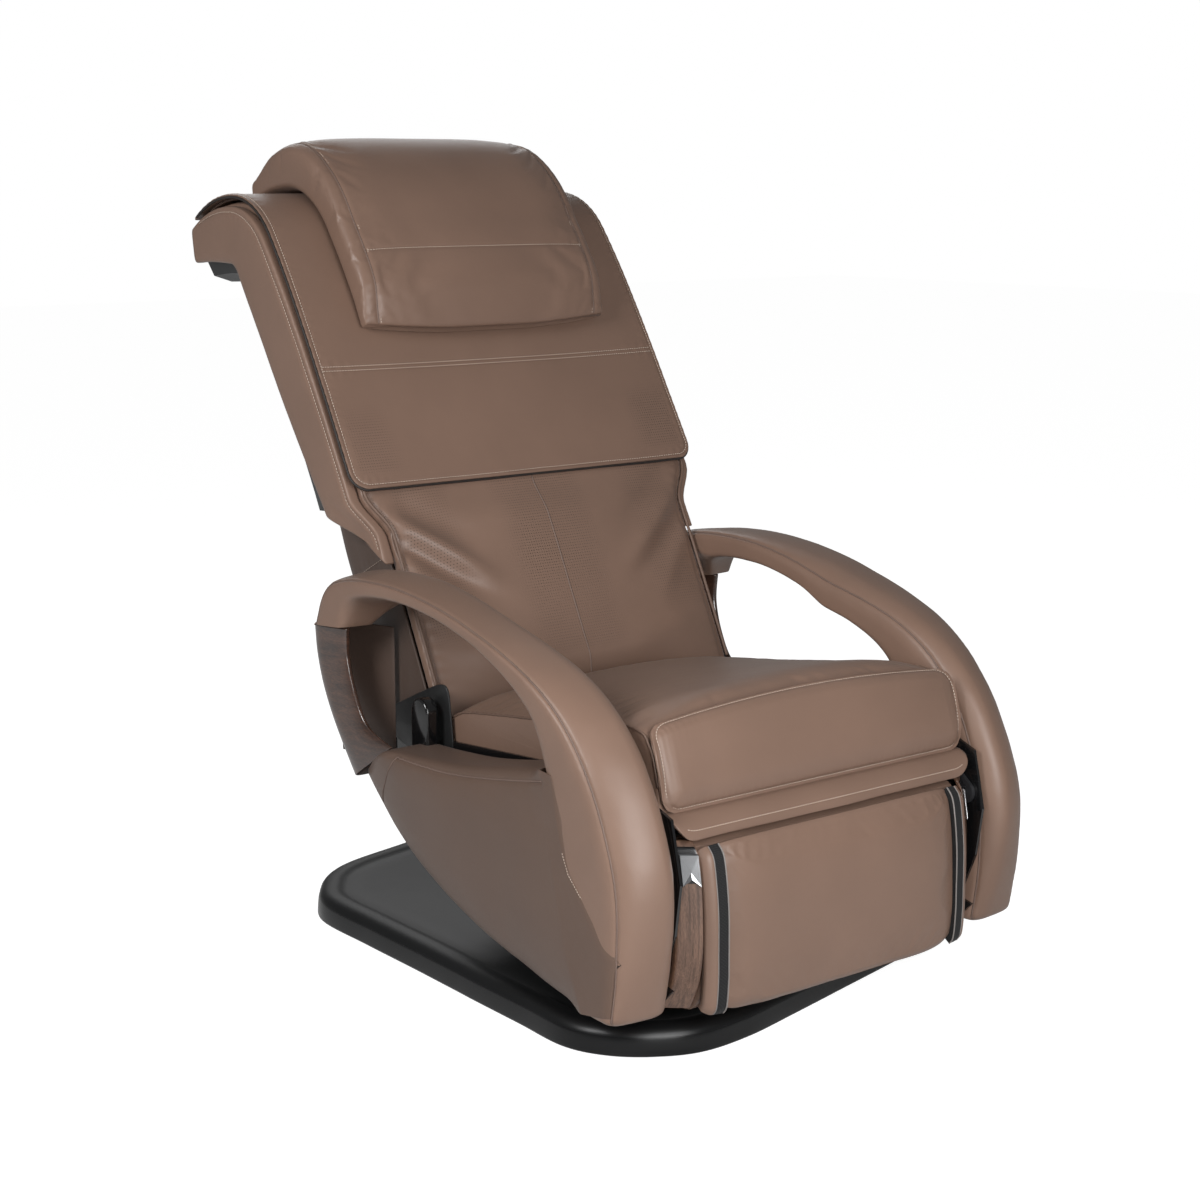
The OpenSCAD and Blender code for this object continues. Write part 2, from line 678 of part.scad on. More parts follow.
// Padded flap that is folded down over the seat's front edge
module seat_flap() {
    steps = 16;
    mid_z = (seat_low + seat_rear_h) / 2;
    path = [[-seat_front + 47.7, seat_front_h - 9.8], [-seat_front + 31.6, seat_front_h - 33.8],
        [-seat_front + 21.6, seat_front_h - 69.9], [-seat_front + 17.6, seat_low + 24]];
    color(leather) skin([for (k = [0:steps])
        let(t = -cos(180 * k / steps), w = seat_half_w + 1.2,
            crown = seat_crown * (1 - t * t), edge = pow(abs(t), 12))
        [for (q = soft_square(16, 3))
            let(u = lerp(0.5, (1 - q[1]) / 2, 1 - 0.16 * edge),
                c = spline(path, u), b = spline(path, u + 0.02), a = spline(path, u - 0.02),
                d = (b - a) / norm(b - a), n = [d[1], -d[0]],
                bulge = seat_flap_t * (0.62 + 0.38 * sqrt(max(0, 1 - pow(2 * u - 1, 4)))),
                p = c + n * (q[0] + 1) / 2 * bulge * (1 - 0.3 * edge))
            [-t * w, p[0], p[1] + crown * smooth(mid_z, seat_rear_h, c[1])]]]);
}

// Folded lip under the flap
module seat_lip() {
    steps = 12;
    color(leather) skin([for (k = [0:steps])
        let(t = -cos(180 * k / steps), shrink = 1 - 0.35 * pow(abs(t), 8))
        [for (q = soft_square(12, 2.6))
            [-t * (seat_half_w - 2), -seat_front + 5 + 12 * q[0] * shrink,
                seat_low + 9 + 12 * q[1] * shrink - 2 * q[0]]]]);
}

// Handset and its pocket

pocket_wall = 2.5;
handset_gap = 0.6;
pocket_in = 275;
pocket_out = pocket_in + handset_t + 2 * (pocket_wall + handset_gap);
pocket_y0 = 13;
pocket_l = handset_w + 2 * (pocket_wall + handset_gap);
pocket_low = 222;
pocket_top = 284;

// Room for the pocket and for lifting the handset out of it
module pocket_room() {
    translate([-pocket_out - seat_gap, pocket_y0 - seat_gap, pocket_low - seat_gap])
        cube([pocket_out - pocket_in + 2 * seat_gap, pocket_l + 2 * seat_gap, 300]);
}
handset_low = pocket_low + pocket_wall;
handset_x = pocket_in + pocket_wall + handset_gap;
handset_y = pocket_y0 + pocket_wall + handset_gap;

module handset_pocket() {
    inner_w = handset_t + 2 * handset_gap;
    inner_l = handset_w + 2 * handset_gap;
    color(black) difference() {
        translate([-pocket_out, pocket_y0, pocket_low])
            cube([pocket_out - pocket_in, pocket_l, pocket_top - pocket_low]);
        translate([-pocket_out + pocket_wall, pocket_y0 + pocket_wall, handset_low])
            cube([inner_w, inner_l, 200]);
    }
}

button_places = [[0.5, 0.86], [0.5, 0.74], [0.5, 0.64], [0.5, 0.54], [0.5, 0.44]];
button_r = [7, 5.5, 5.5, 5.5, 5.5];
button_t = 4;
button_proud = 2;

module button_at(k, grow = 0) {
    translate([-handset_x - button_t + button_proud - grow,
        handset_y + handset_w * button_places[k][0], handset_low + handset_h * button_places[k][1]])
        rotate([0, 90, 0]) cylinder(h = button_t + grow * 4, r = button_r[k] + grow, $fn = 48);
}

module handset() {
    r = handset_w / 2;
    color(black) difference() {
        side_x(-handset_x - handset_t, -handset_x) union() {
            translate([handset_y, handset_low]) square([handset_w, handset_h - r]);
            disc([handset_y + r, handset_low + handset_h - r], r);
        }
        for (k = [0:4]) translate([-button_travel - 0.6, 0, 0]) button_at(k, 0.3);
    }
}
module button_power() { color("firebrick") button_at(0); }
module button_recline() { color(steel) button_at(1); }
module button_raise() { color(steel) button_at(2); }
module button_program() { color(steel) button_at(3); }
module button_force() { color(steel) button_at(4); }

// Backrest

tube_n = -62;
frame_low = back_point(0, tube_n);
frame_high = back_point(600, tube_n);
frame_l = norm(frame_high - frame_low);
frame_lean = atan2(frame_high[0] - frame_low[0], frame_high[1] - frame_low[1]);
tube_x = 230;
cross_r = tube_r - 1.5;

rail_low = 24 + cross_r + 0.3;
rail_l = frame_l - tube_r - cross_r - 0.3 - rail_low;

// Buffers that carry the pad: places on the frame's line and behind the pad
buffer_r = 6;
function on_line(s) = frame_low + (frame_high - frame_low) * s / frame_l;
function buffer_at(s) = back_point(s, -back_pad_t - seat_gap - buffer_r);

// Moves a piece drawn upright onto the line of the back frame's tubes
module on_frame(x = 0, s = 0, n = 0) {
    translate([0, frame_low[0], frame_low[1]]) rotate([-frame_lean, 0, 0])
        translate([x, -n, s]) children();
}

module back_frame() {
    color(steel) difference() {
        union() {
            both_sides() {
                side_x(lever_in, lever_out) union() {
                    disc(pivot, 24);
                    disc(link_rear, tube_r + 3);
                    disc(frame_low, 17);
                    strap(pivot, link_rear, 26);
                    strap(pivot, frame_low, 32);
                }
                bar_x(frame_low, tube_x, lever_in, tube_r + 2);
                bar_x(link_rear, lever_out - 1, link_out + 1, link_pin_r);
                on_frame(tube_x) cylinder(h = frame_l, r = tube_r, $fn = 48);
                for (s = [24, frame_l - tube_r - 2]) side_x(tube_x - 22, tube_x - 2) {
                    disc(buffer_at(s + 3), buffer_r);
                    strap(on_line(s), buffer_at(s + 3), 11);
                }
            }
            bar_x(link_rear, -lever_in, lever_in, tube_r);
            for (s = [24, frame_l - tube_r]) on_frame(-tube_x, s) rotate([0, 90, 0])
                cylinder(h = 2 * tube_x, r = cross_r, $fn = 48);
        }
        bar_x(pivot, -lever_out - 1, lever_out + 1, pin_r + run_clear);
    }
}

// Section of a moulded tub: an outer run and the inner run back
function tub_section(w, depth, wall, front, filled = false) =
    let(outer = [[1, -front], [1, -0.72 * depth], [0.97, -0.9 * depth], [0.87, -0.98 * depth],
        [0.42, -depth]],
        run = concat(outer, [for (k = [4:-1:0]) [-outer[k][0], outer[k][1]]]))
    concat([for (p = run) [p[0] * w, p[1]]],
        [for (k = [9:-1:0]) let(p = run[k])
            [p[0] * (w - wall), (k == 0 || k == 9) ? p[1] : filled ? -front - 0.3 : p[1] + wall]]);

shell_half_w = back_half_w - back_side_t - 1.5;
shell_low = wide_s + 30;

module back_shell() {
    steps = 22;
    high = back_l - 3;
    at = concat([for (k = [0:steps]) lerp(shell_low, high - shell_wall, k / steps)],
        [high - shell_wall + 0.5, high]);
    color(black) channel_skin([for (k = [0:steps + 2])
        [for (p = tub_section(shell_half_w, shell_depth(at[k]), shell_wall, back_pad_t + 2,
                k > steps))
            back_xyz(p[0], at[k], p[1])]]);
}

module lower_housing() {
    steps = 12;
    w = waist_half_w - 1;
    color(leather_dark) channel_skin([for (k = [0:steps])
        let(s = lerp(9, shell_low - seat_gap, k / steps))
        [for (p = tub_section(w, shell_depth(s) + 2, shell_wall, back_pad_t + 2))
            back_xyz(p[0], s, p[1])]]);
}

// Front pad: crowned and creased at the lumbar, flat under the flap
roll_s = lumbar_l + shoulder_l + neck_l;
module back_pad() {
    steps = 30;
    low = -34;
    color(leather) skin([for (k = [0:steps])
        let(s = lerp(low, back_l - 4, k / steps), w = padding_half_w(s),
            bare = smooth(-20, 30, s) - smooth(waist_s, flap_low_s - 36, s),
            ends = k == 0 || k == steps ? 0.7 : 1)
        [for (q = soft_square(20, 5))
            let(x = q[0] * w, top = 8 * bare * (1 - q[0] * q[0]) - 7 * bare * exp(-x * x / 300)
                    - 1.2 * smooth(roll_s - 60, roll_s, s))
            back_xyz(x, s, q[1] > 0 ? top - (1 - q[1] * ends) * back_pad_t / 2
                : -back_pad_t / 2 + q[1] * ends * back_pad_t / 2)]]);
}

side_low_s = 200;
module back_side() {
    steps = 26;
    front = 12;
    color(leather) skin([for (k = [0:steps])
        [for (q = soft_square(12, 4))
            let(v = (1 - q[0]) / 2, n0 = -lerp(front, 95, v),
                start = side_low_s - 1.28 * (n0 + front),
                s = lerp(start, back_l - 1, k / steps),
                n = -lerp(front, side_depth(s), v),
                w = padding_half_w(s) + seat_gap)
            back_xyz(w + back_side_t * (q[1] + 1) / 2, s, n)]]);
}
module back_side_left() { back_side(); }
module back_side_right() { mirror([1, 0, 0]) back_side(); }

// Thin leather sheet laid over the upper back and its rolled top
module back_flap() {
    steps = 26;
    round_l = 26;
    color(leather) skin([for (k = [0:steps])
        let(u = k / steps, s = flap_low_s + (back_l + 2 - flap_low_s) * (u < 0.06 ? u * u / 0.06 : u),
            e = max(0, 1 - (s - flap_low_s) / round_l),
            w = back_half_w - 5 - 6 * u - round_l * (1 - sqrt(1 - 0.98 * e * e)))
        [for (q = soft_square(14, 8))
            back_xyz(w * q[0], s, seat_gap + flap_t * (q[1] + 1) / 2)]]);
}

module guide_rails() {
    color(steel) both_sides() on_frame(rail_pitch / 2, rail_low)
        cylinder(h = rail_l, r = 8, $fn = 48);
}

screw_r = 6;
module lift_screw() {
    color(steel) {
        on_frame(0, rail_low) cylinder(h = rail_l, r = screw_r, $fn = 48);
        on_frame(0, 40, -6) difference() {
            translate([-26, -20, -4.8]) cube([52, 52, 26]);
            translate([0, -6, -5]) cylinder(h = 40, r = screw_r - 0.5, $fn = 32);
        }
    }
    color(black) on_frame(0, 44, -50) cylinder(h = 78, r = 20, $fn = 64);
}

carriage_s = 190;
shaft_n = -20;
roller_s = 46;

module carriage() {
    color(steel) on_frame(0, carriage_s, 0) difference() {
        union() {
            translate([-rail_pitch / 2 - 20, 38, -62]) cube([rail_pitch + 40, 4, 124]);
            for (x = [-1, 1]) {
                translate([x * rail_pitch / 2 - 16, -16, -22]) cube([32, 55, 44]);
                translate([x * 60 - 3, -12, -60]) cube([6, 51, 120]);
            }
            translate([-16, -14, -18]) cube([32, 53, 14]);
            translate([-40, 41, -50]) cube([80, 26, 92]);
        }
        for (x = [-1, 1]) translate([x * rail_pitch / 2, 0, -90])
            cylinder(h = 180, r = 8 + run_clear, $fn = 48);
        translate([0, 0, -90]) cylinder(h = 180, r = screw_r + 0.4, $fn = 48);
        for (z = [-roller_s, roller_s]) translate([-90, 0, z]) rotate([0, 90, 0])
            cylinder(h = 180, r = 6 + run_clear, $fn = 48);
        translate([-90, -shaft_n, 6]) rotate([0, 90, 0])
            cylinder(h = 180, r = 7 + run_clear, $fn = 48);
    }
}

module knead_shaft() {
    color(steel) on_frame(0, carriage_s + 6, shaft_n) {
        translate([-78, 0, 0]) rotate([0, 90, 0]) cylinder(h = 156, r = 7, $fn = 48);
        for (x = [-1, 1]) translate([x * 38 - 8, 0, 3 * x]) rotate([0, 90, 0])
            cylinder(h = 16, r = 13, $fn = 48);
    }
}

module roller_pair(s) {
    color("dimgray") on_frame(0, carriage_s + s, 0) {
        for (x = [-1, 1]) translate([x * 74 - 24, 0, 0]) rotate([0, 90, 0])
            cylinder(h = 48, r = 6, $fn = 48);
        for (x = [-1, 1]) translate([x * 81, 0, 0]) rotate([0, 90, 0])
            rotate_extrude($fn = 64) polygon(concat([[0, -roller_w / 2]],
                [for (k = [0:8]) let(t = -1 + k / 4)
                    [roller_r * (0.72 + 0.28 * sqrt(1 - t * t * 0.96)), t * roller_w / 2]],
                [[0, roller_w / 2]]));
    }
}
module rollers_upper() { roller_pair(roller_s); }
module rollers_lower() { roller_pair(-roller_s); }

// Head pillow, hooked over the rolled top
pillow_low_s = 545;
pillow_high_s = back_l - 28;
module head_pillow() {
    steps = 20;
    depth = [0.3, 0.62, 0.68, 0.7, 0.83, 1, 0.86, 0.36];
    rest = 3 * seat_gap + flap_t;
    color(leather) skin([for (k = [0:steps])
        let(u = k / steps, s = lerp(pillow_low_s, pillow_high_s, u),
            t = pillow_t * spline(depth, u), ends = k == 0 || k == steps ? 0.6 : 1)
        [for (q = soft_square(18, 5))
            let(soft = 1 - 0.12 * pow(abs(q[0]), 4))
            back_xyz(pillow_half_w * q[0] * lerp(1, 0.97, 1 - ends), s,
                rest + t * (1 + q[1] * ends) / 2 * soft)]]);
}

// Leg rest

// Slim upper end of the lever, which passes behind the latch
module lever_head() {
    disc(leg_pivot, 9.5);
    strap(leg_pivot, ottoman_c, 18);
}

module leg_frame() {
    color(steel) difference() {
        union() {
            both_sides() {
                side_x(lever_in, lever_out) union() {
                    lever_head();
                    disc(ottoman_c, 26);
                    disc(cross_tube, tube_r + 7);
                    strap(ottoman_c, cross_tube, 26);
                    strap(leg_pivot + [4, -2], link_front, 18);
                    disc(link_front, 10);
                }
                bar_x(link_front, lever_out - 1, link_out + 1, link_pin_r);
                bar_x(leg_pivot, lever_in, frame_out, leg_pin_r);
            }
            bar_x(cross_tube, -lever_in, lever_in, tube_r);
        }
        bar_x(ottoman_c, -lever_out - 1, lever_out + 1, trunnion_r + run_clear);
    }
}

strip_in = ottoman_half_w + 3;
strip_out = frame_in - 1;
// Inner front edge of the strip, from its top to its bottom
strip_face = [[-446, 283], [-458, 268], [-464, 240], [-468, 190], [-468, 140], [-460, 100],
    [-444, 68]];
strip_t = 8;
strip_slant = 22;
latch_z = 238;
latch_h = 64;
latch_t = 7;
latch_travel = 2;
latch_proud = 5.5;

// The strip's front line at a height, and the set-back across its width
function strip_front(x) = strip_slant * (x - strip_in) / (strip_out - strip_in);

module leg_strip() {
    steps = 18;
    pocket = latch_t - latch_proud + latch_travel + 0.8;
    color(walnut) difference() {
        skin([for (k = [0:steps]) let(p = spline(strip_face, k / steps))
            [[strip_in, p[0], p[1]], [strip_out, p[0] + strip_slant, p[1]],
                [strip_out, p[0] + strip_slant + strip_t, p[1]],
                [strip_in, p[0] + strip_t, p[1]]]]);
        side_x(lever_in, lever_out) lever_head();
        bar_x(leg_pivot, lever_out - 1, strip_out + 1, leg_pin_r + 1);
        translate([0, 0, latch_z - latch_h / 2 - 0.5]) linear_extrude(latch_h + 1)
            latch_plan(latch_y(latch_z) - 40, 40 + pocket, 0.5);
    }
}
module leg_strip_left() { leg_strip(); }
module leg_strip_right() { mirror([1, 0, 0]) leg_strip(); }

// Front line of the strip at a height near the latch
function latch_y(z) = lookup(z, [for (k = [0:24]) let(p = spline(strip_face, k / 24)) [p[1], p[0]]]);
// Plan of the latch: a slanted bar behind the line y
module latch_plan(y, t, grow = 0) {
    x0 = strip_in + 3 - grow;
    x1 = strip_out - 5 + grow;
    polygon([[x0, y + strip_front(x0)], [x1, y + strip_front(x1)],
        [x1, y + strip_front(x1) + t], [x0, y + strip_front(x0) + t]]);
}

// Chrome push latch that lets the ottoman turn over
module latch() {
    y = latch_y(latch_z) - latch_proud;
    mid = (strip_in + strip_out) / 2;
    color("silver") difference() {
        translate([0, 0, latch_z - latch_h / 2]) linear_extrude(latch_h) latch_plan(y, latch_t);
        translate([0, y - 20, latch_z - latch_h / 2]) rotate([-90, 0, 0])
            linear_extrude(80) polygon([[mid - 7, 1], [mid, -9], [mid + 7, 1]]);
    }
}
module latch_left() { latch(); }
module latch_right() { mirror([1, 0, 0]) latch(); }

// Side view of the ottoman about its trunnions, the front face first
ottoman_face = [[-12, 1], [-0.5 * ottoman_d, 0.95], [-0.68 * ottoman_d, 0.69],
    [-0.8 * ottoman_d, 0.32], [-0.87 * ottoman_d, -0.14], [-0.89 * ottoman_d, -0.46],
    [-0.79 * ottoman_d, -0.79], [-0.46 * ottoman_d, -0.98], [-8, -1]];
ottoman_back = [[8, -1], [0.7 * ottoman_d, -0.9], [ottoman_d, -0.6], [ottoman_d, 0],
    [ottoman_d, 0.6], [0.7 * ottoman_d, 0.9], [8, 1]];
module ottoman_outline() {
    steps = 16;
    translate(ottoman_c) polygon(concat(
        [for (k = [0:steps]) let(p = spline(ottoman_face, k / steps))
            [p[0], p[1] * ottoman_h / 2]],
        [for (k = [0:steps]) let(p = spline(ottoman_back, k / steps))
            [p[0], p[1] * ottoman_h / 2]]));
}

well_y = ottoman_c[0] + ottoman_d;
module ottoman() {
    color(leather) difference() {
        union() {
            side_x(-ottoman_half_w, ottoman_half_w) ottoman_outline();
            bar_x(ottoman_c, -lever_out - 1, lever_out + 1, trunnion_r);
        }
        for (x = [-1, 1]) translate([x * calf_pitch / 2, well_y, ottoman_c[1] - ottoman_h]) {
            cylinder(h = 2 * ottoman_h, r = calf_r, $fn = 96);
            translate([-calf_r, 0, 0]) cube([2 * calf_r, ottoman_d, 2 * ottoman_h]);
        }
    }
}

// Crowned leather pad on the ottoman's front, as outer and inner places in side view
pad_outer = [[-46, 108], [-57, 95], [-63, 68], [-68, 24], [-69, -30], [-69, -62], [-66, -96],
    [-59, -108]];
pad_inner = [[-32, 101], [-37, 84], [-41, 66], [-46, 26], [-50.8, -28], [-51.2, -58],
    [-47, -84], [-44, -92]];
module ottoman_pad() {
    steps = 14;
    n = len(pad_outer);
    color(leather) skin([for (k = [0:steps])
        let(t = -cos(180 * k / steps), edge = pow(abs(t), 8),
            scale_t = ottoman_pad_t / 18 * (1 - 0.3 * edge),
            rise = ottoman_h / 216)
        [for (j = [0:2 * n - 1])
            let(i = j < n ? j : 2 * n - 1 - j, a = pad_inner[i],
                p = j < n ? lerp(a, pad_outer[i], scale_t) : a)
            [t * ottoman_pad_half_w, ottoman_c[0] + p[0] - seat_gap,
                ottoman_c[1] + p[1] * rise * (1 - 0.02 * edge)]]]);
}

// Padded cushions along both cheeks of each calf well
module calf_liners() {
    wall = 9;
    color(leather_dark) for (x = [-1, 1])
        translate([x * calf_pitch / 2, well_y, ottoman_c[1]]) difference() {
            translate([0, 0, -ottoman_h / 2 + 28])
                cylinder(h = ottoman_h - 56, r = calf_r - 0.3, $fn = 96);
            translate([0, 0, -ottoman_h]) cylinder(h = 2 * ottoman_h, r = calf_r - wall, $fn = 96);
            translate([-2 * calf_r, -6, -ottoman_h]) cube([4 * calf_r, 4 * calf_r, 2 * ottoman_h]);
            translate([-5, -2 * calf_r, -ottoman_h]) cube([10, 2 * calf_r, 2 * ottoman_h]);
        }
}

// Push links from the backrest's levers to the leg rest's levers
link_slack = 6;
module push_links() {
    color(steel) both_sides() side_x(link_in, link_out) difference() {
        union() {
            disc(link_rear, 11);
            strap(link_rear, link_front, 15);
            disc(link_front, link_pin_r + link_slack + 5);
        }
        disc(link_rear, link_pin_r + run_clear);
        disc(link_front, link_pin_r + link_slack);
    }
}

// Recline actuator, lying along its own line
module on_actuator() {
    translate([0, actuator_pin[0], actuator_pin[1]]) rotate([actuator_tilt, 0, 0])
        rotate([-90, 0, 0]) children();
}

guide_l = 236;
eye_slack = 6;
module recline_actuator() {
    color("dimgray") on_actuator() difference() {
        union() {
            rotate([0, 90, 0]) translate([0, 0, -12]) cylinder(h = 24, r = 14, $fn = 64);
            translate([-12, -11, 0]) cube([24, 22, 34]);
            translate([-24, -20, 32]) cube([48, 40, 40]);
            translate([0, 0, 40]) cylinder(h = guide_l - 40, r = rod_r + 7, $fn = 64);
            translate([0, -1, 32]) cylinder(h = 10, r = 18, $fn = 64);
        }
        rotate([0, 90, 0]) translate([0, 0, -20]) cylinder(h = 40, r = 6 + run_clear, $fn = 48);
        translate([0, 0, 78]) cylinder(h = guide_l, r = rod_r + run_clear, $fn = 64);
    }
}

module actuator_rod() {
    color(steel) on_actuator() difference() {
        union() {
            translate([0, 0, actuator_l - 216])
                cylinder(h = 216 - tube_r - eye_slack, r = rod_r, $fn = 64);
            translate([-8, 0, actuator_l]) rotate([0, 90, 0])
                cylinder(h = 16, r = tube_r + eye_slack + 6, $fn = 64);
        }
        translate([-10, 0, actuator_l]) rotate([0, 90, 0])
            cylinder(h = 20, r = tube_r + eye_slack, $fn = 64);
    }
}

base_cover();
base_plate();
floor_glides();
swivel_column();
swivel_head();
seat_frame();
underbody_cover();
control_box();
mains_inlet();
power_rocker();
arm_loop_left();
arm_loop_right();
side_panel_left();
side_panel_right();
rear_trim_left();
rear_trim_right();
inner_liner_left();
inner_liner_right();
seat_board();
seat_cushion();
seat_flap();
seat_lip();
handset_pocket();
handset();
button_power();
button_recline();
button_raise();
button_program();
button_force();
back_frame();
back_shell();
lower_housing();
back_pad();
back_side_left();
back_side_right();
back_flap();
guide_rails();
lift_screw();
carriage();
knead_shaft();
rollers_upper();
rollers_lower();
head_pillow();
leg_frame();
leg_strip_left();
leg_strip_right();
latch_left();
latch_right();
ottoman();
ottoman_pad();
calf_liners();
push_links();
recline_actuator();
actuator_rod();
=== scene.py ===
# %% [markdown]
# # A reclining leather massage chair
# This lesson dresses the imported construction model of a massage chair: a swivel
# base, looped arms, a hooded back with a head pillow, and a calf rest that turns
# over. The model gives every hard part in its place. What is missing is what
# makes it look like the real chair: stretched leather, seams, piping, lacquered
# wood, and the light of a studio. We load the model first.

# %% Load the frame
import json
import math

import bpy
import numpy as np
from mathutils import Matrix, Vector


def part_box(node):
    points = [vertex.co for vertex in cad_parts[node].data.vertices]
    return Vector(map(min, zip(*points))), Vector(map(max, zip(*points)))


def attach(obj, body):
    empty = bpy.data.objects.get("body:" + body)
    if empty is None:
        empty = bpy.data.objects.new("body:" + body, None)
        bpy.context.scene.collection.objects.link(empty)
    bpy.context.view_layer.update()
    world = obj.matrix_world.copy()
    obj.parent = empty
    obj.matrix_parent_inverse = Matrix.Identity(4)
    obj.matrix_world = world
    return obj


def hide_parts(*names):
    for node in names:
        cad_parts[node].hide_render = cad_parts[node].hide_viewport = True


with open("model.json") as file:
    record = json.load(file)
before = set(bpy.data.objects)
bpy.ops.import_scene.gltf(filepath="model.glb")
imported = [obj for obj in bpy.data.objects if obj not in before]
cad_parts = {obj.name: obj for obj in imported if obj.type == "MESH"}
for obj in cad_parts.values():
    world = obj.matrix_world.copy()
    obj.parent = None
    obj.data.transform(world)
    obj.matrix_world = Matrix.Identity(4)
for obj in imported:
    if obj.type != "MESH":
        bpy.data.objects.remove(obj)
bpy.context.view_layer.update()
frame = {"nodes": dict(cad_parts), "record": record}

# %% [markdown]
# ## Curves and grids
# Every soft piece of the chair is a surface over two parameters: one runs along
# the piece, the other runs round it. We work in millimetres in the chair's own
# directions (X to the sitter's left, Y to the rear, Z up) and turn to metres
# only when a mesh is made. A few small functions do all the shaping: a smooth
# step, a smooth curve through points, and a squarish ring. A ring comes as two rows
# of numbers from -1 to 1. Their names end in a and b: a runs across the piece's
# section and b runs through it, and the letters before them belong to the piece.

# %% Curve helpers
MM = 0.001


def smooth(a, b, v):
    """Goes from 0 to 1 while v goes from a to b: three t squared minus two t cubed."""
    t = np.clip((np.asarray(v, float) - a) / (b - a), 0, 1)
    return t * t * (3 - 2 * t)


def lerp(a, b, t):
    """Straight blend: a where t is 0 and b where t is 1."""
    return a + (b - a) * t


def bump(v, centre, width):
    """Bell curve: e to the minus square of the distance over the width."""
    return np.exp(-((np.asarray(v, float) - centre) / width) ** 2)


def curve(points, u):
    """Catmull-Rom curve through equally spaced points, for u from 0 to 1."""
    p = np.asarray(points, float)
    s = np.clip(u, 0, 1) * (len(p) - 1)
    i = np.minimum(s.astype(int), len(p) - 2)
    t = s - i
    a, b, c, d = (p[np.clip(i + k, 0, len(p) - 1)] for k in (-1, 0, 1, 2))
    if p.ndim > 1:
        t = t[..., None]
    return (2 * b + (c - a) * t + (2 * a - 5 * b + 4 * c - d) * t ** 2
            + (3 * b - a - 3 * c + d) * t ** 3) / 2


def ring(n, power):
    """Squarish ring of half width 1: cosine and sine raised to 2 over the power."""
    a = 2 * np.pi * (np.arange(n) + 0.5) / n
    c, s = np.cos(a), np.sin(a)
    return np.sign(c) * abs(c) ** (2 / power), np.sign(s) * abs(s) ** (2 / power)


def along(line):
    """Distance travelled along a row of points, starting at 0."""
    step = np.linalg.norm(np.diff(line, axis=0), axis=1)
    return np.concatenate([[0], np.cumsum(step)])


def even(line, pitch, *others):
    """The row of points, and any rows that go with it, taken again at one pitch."""
    s = along(line)
    at = np.arange(pitch / 2, s[-1], pitch)
    return [np.stack([np.interp(at, s, row[:, k]) for k in range(3)], 1)
            for row in (line,) + others]


def unit(v):
    """Vectors brought to length 1."""
    return v / np.maximum(np.linalg.norm(v, axis=-1, keepdims=True), 1e-9)


def noise(p, size, seed):
    """Soft ripples: a sum of sines along fixed random directions, about -1 to 1."""
    rng = np.random.default_rng(seed)
    out = np.zeros(p.shape[:-1])
    for k in range(7):
        d = unit(rng.normal(size=3)) / size * (0.7 + 0.25 * k)
        out += np.sin(2 * np.pi * (p @ d) + rng.uniform(0, 6.28)) / (1 + 0.45 * k)
    return out / 2.6


# %% [markdown]
# ## From a grid to a mesh
# A grid becomes a mesh with one face between each four neighbours. Rows that run
# round a piece close on themselves, and the two end rows get a fan to their
# middle. The seams later need to know which way is out, so one function gives
# the outward direction at every grid point as the cross product of the two
# slopes. A closed mesh whose volume comes out negative is turned inside out.

# %% Mesh helpers
def normals(grid):
    """Outward direction of a grid: cross product of its two slopes."""
    wide = np.concatenate([grid[:, -1:], grid, grid[:, :1]], 1)
    n = unit(np.cross(np.gradient(grid, axis=0), (wide[:, 2:] - wide[:, :-2]) / 2))
    return n if ((grid - grid.mean(axis=1, keepdims=True)) * n).sum() > 0 else -n


def build(name, points, faces, material, uv=None):
    """Mesh object from points in millimetres; its place is in its mesh."""
    mesh = bpy.data.meshes.new(name)
    mesh.from_pydata((points * MM).tolist(), [], [tuple(f) for f in faces])
    mesh.polygons.foreach_set("use_smooth", [True] * len(mesh.polygons))
    mesh.materials.append(material)
    if uv is not None:
        layer = mesh.uv_layers.new(name="cloth")
        index = np.empty(len(mesh.loops), int)
        mesh.loops.foreach_get("vertex_index", index)
        layer.data.foreach_set("uv", (uv[index] * MM).ravel())
    obj = bpy.data.objects.new(name, mesh)
    bpy.context.collection.objects.link(obj)
    return obj


def volume(points, faces):
    """Signed volume of a closed mesh: sum of a dot (b cross c) over six."""
    tri = np.array([(f[0], f[k], f[k + 1]) for f in faces for k in range(1, len(f) - 1)])
    a, b, c = (points[tri[:, k]] for k in range(3))
    return (a * np.cross(b, c)).sum() / 6


def loft(name, grid, material, uv=None, ends=None):
    """Closed skin over a grid whose rows run round the piece, with fans or given faces as ends."""
    m, n = grid.shape[:2]
    idx = np.arange(m * n).reshape(m, n)
    nxt = np.roll(idx, -1, axis=1)
    faces = np.stack([idx[:-1], nxt[:-1], nxt[1:], idx[1:]], -1).reshape(-1, 4).tolist()
    points = grid.reshape(-1, 3)
    uv = None if uv is None else uv.reshape(-1, 2)
    if ends is None:
        points = np.concatenate([points, grid[0].mean(0)[None], grid[-1].mean(0)[None]])
        ends = np.concatenate([np.stack([nxt[0], idx[0], np.full(n, m * n)], -1),
                               np.stack([idx[-1], nxt[-1], np.full(n, m * n + 1)], -1)]).tolist()
        uv = None if uv is None else np.concatenate([uv, uv[:1], uv[-1:]])
    faces += ends
    if volume(points, faces) < 0:
        faces = [f[::-1] for f in faces]
    return build(name, points, faces, material, uv)


CORD_SIDES = 10
ASKEW = np.array([0.31, 0.17, 0.93])     # no cord of the chair runs this way


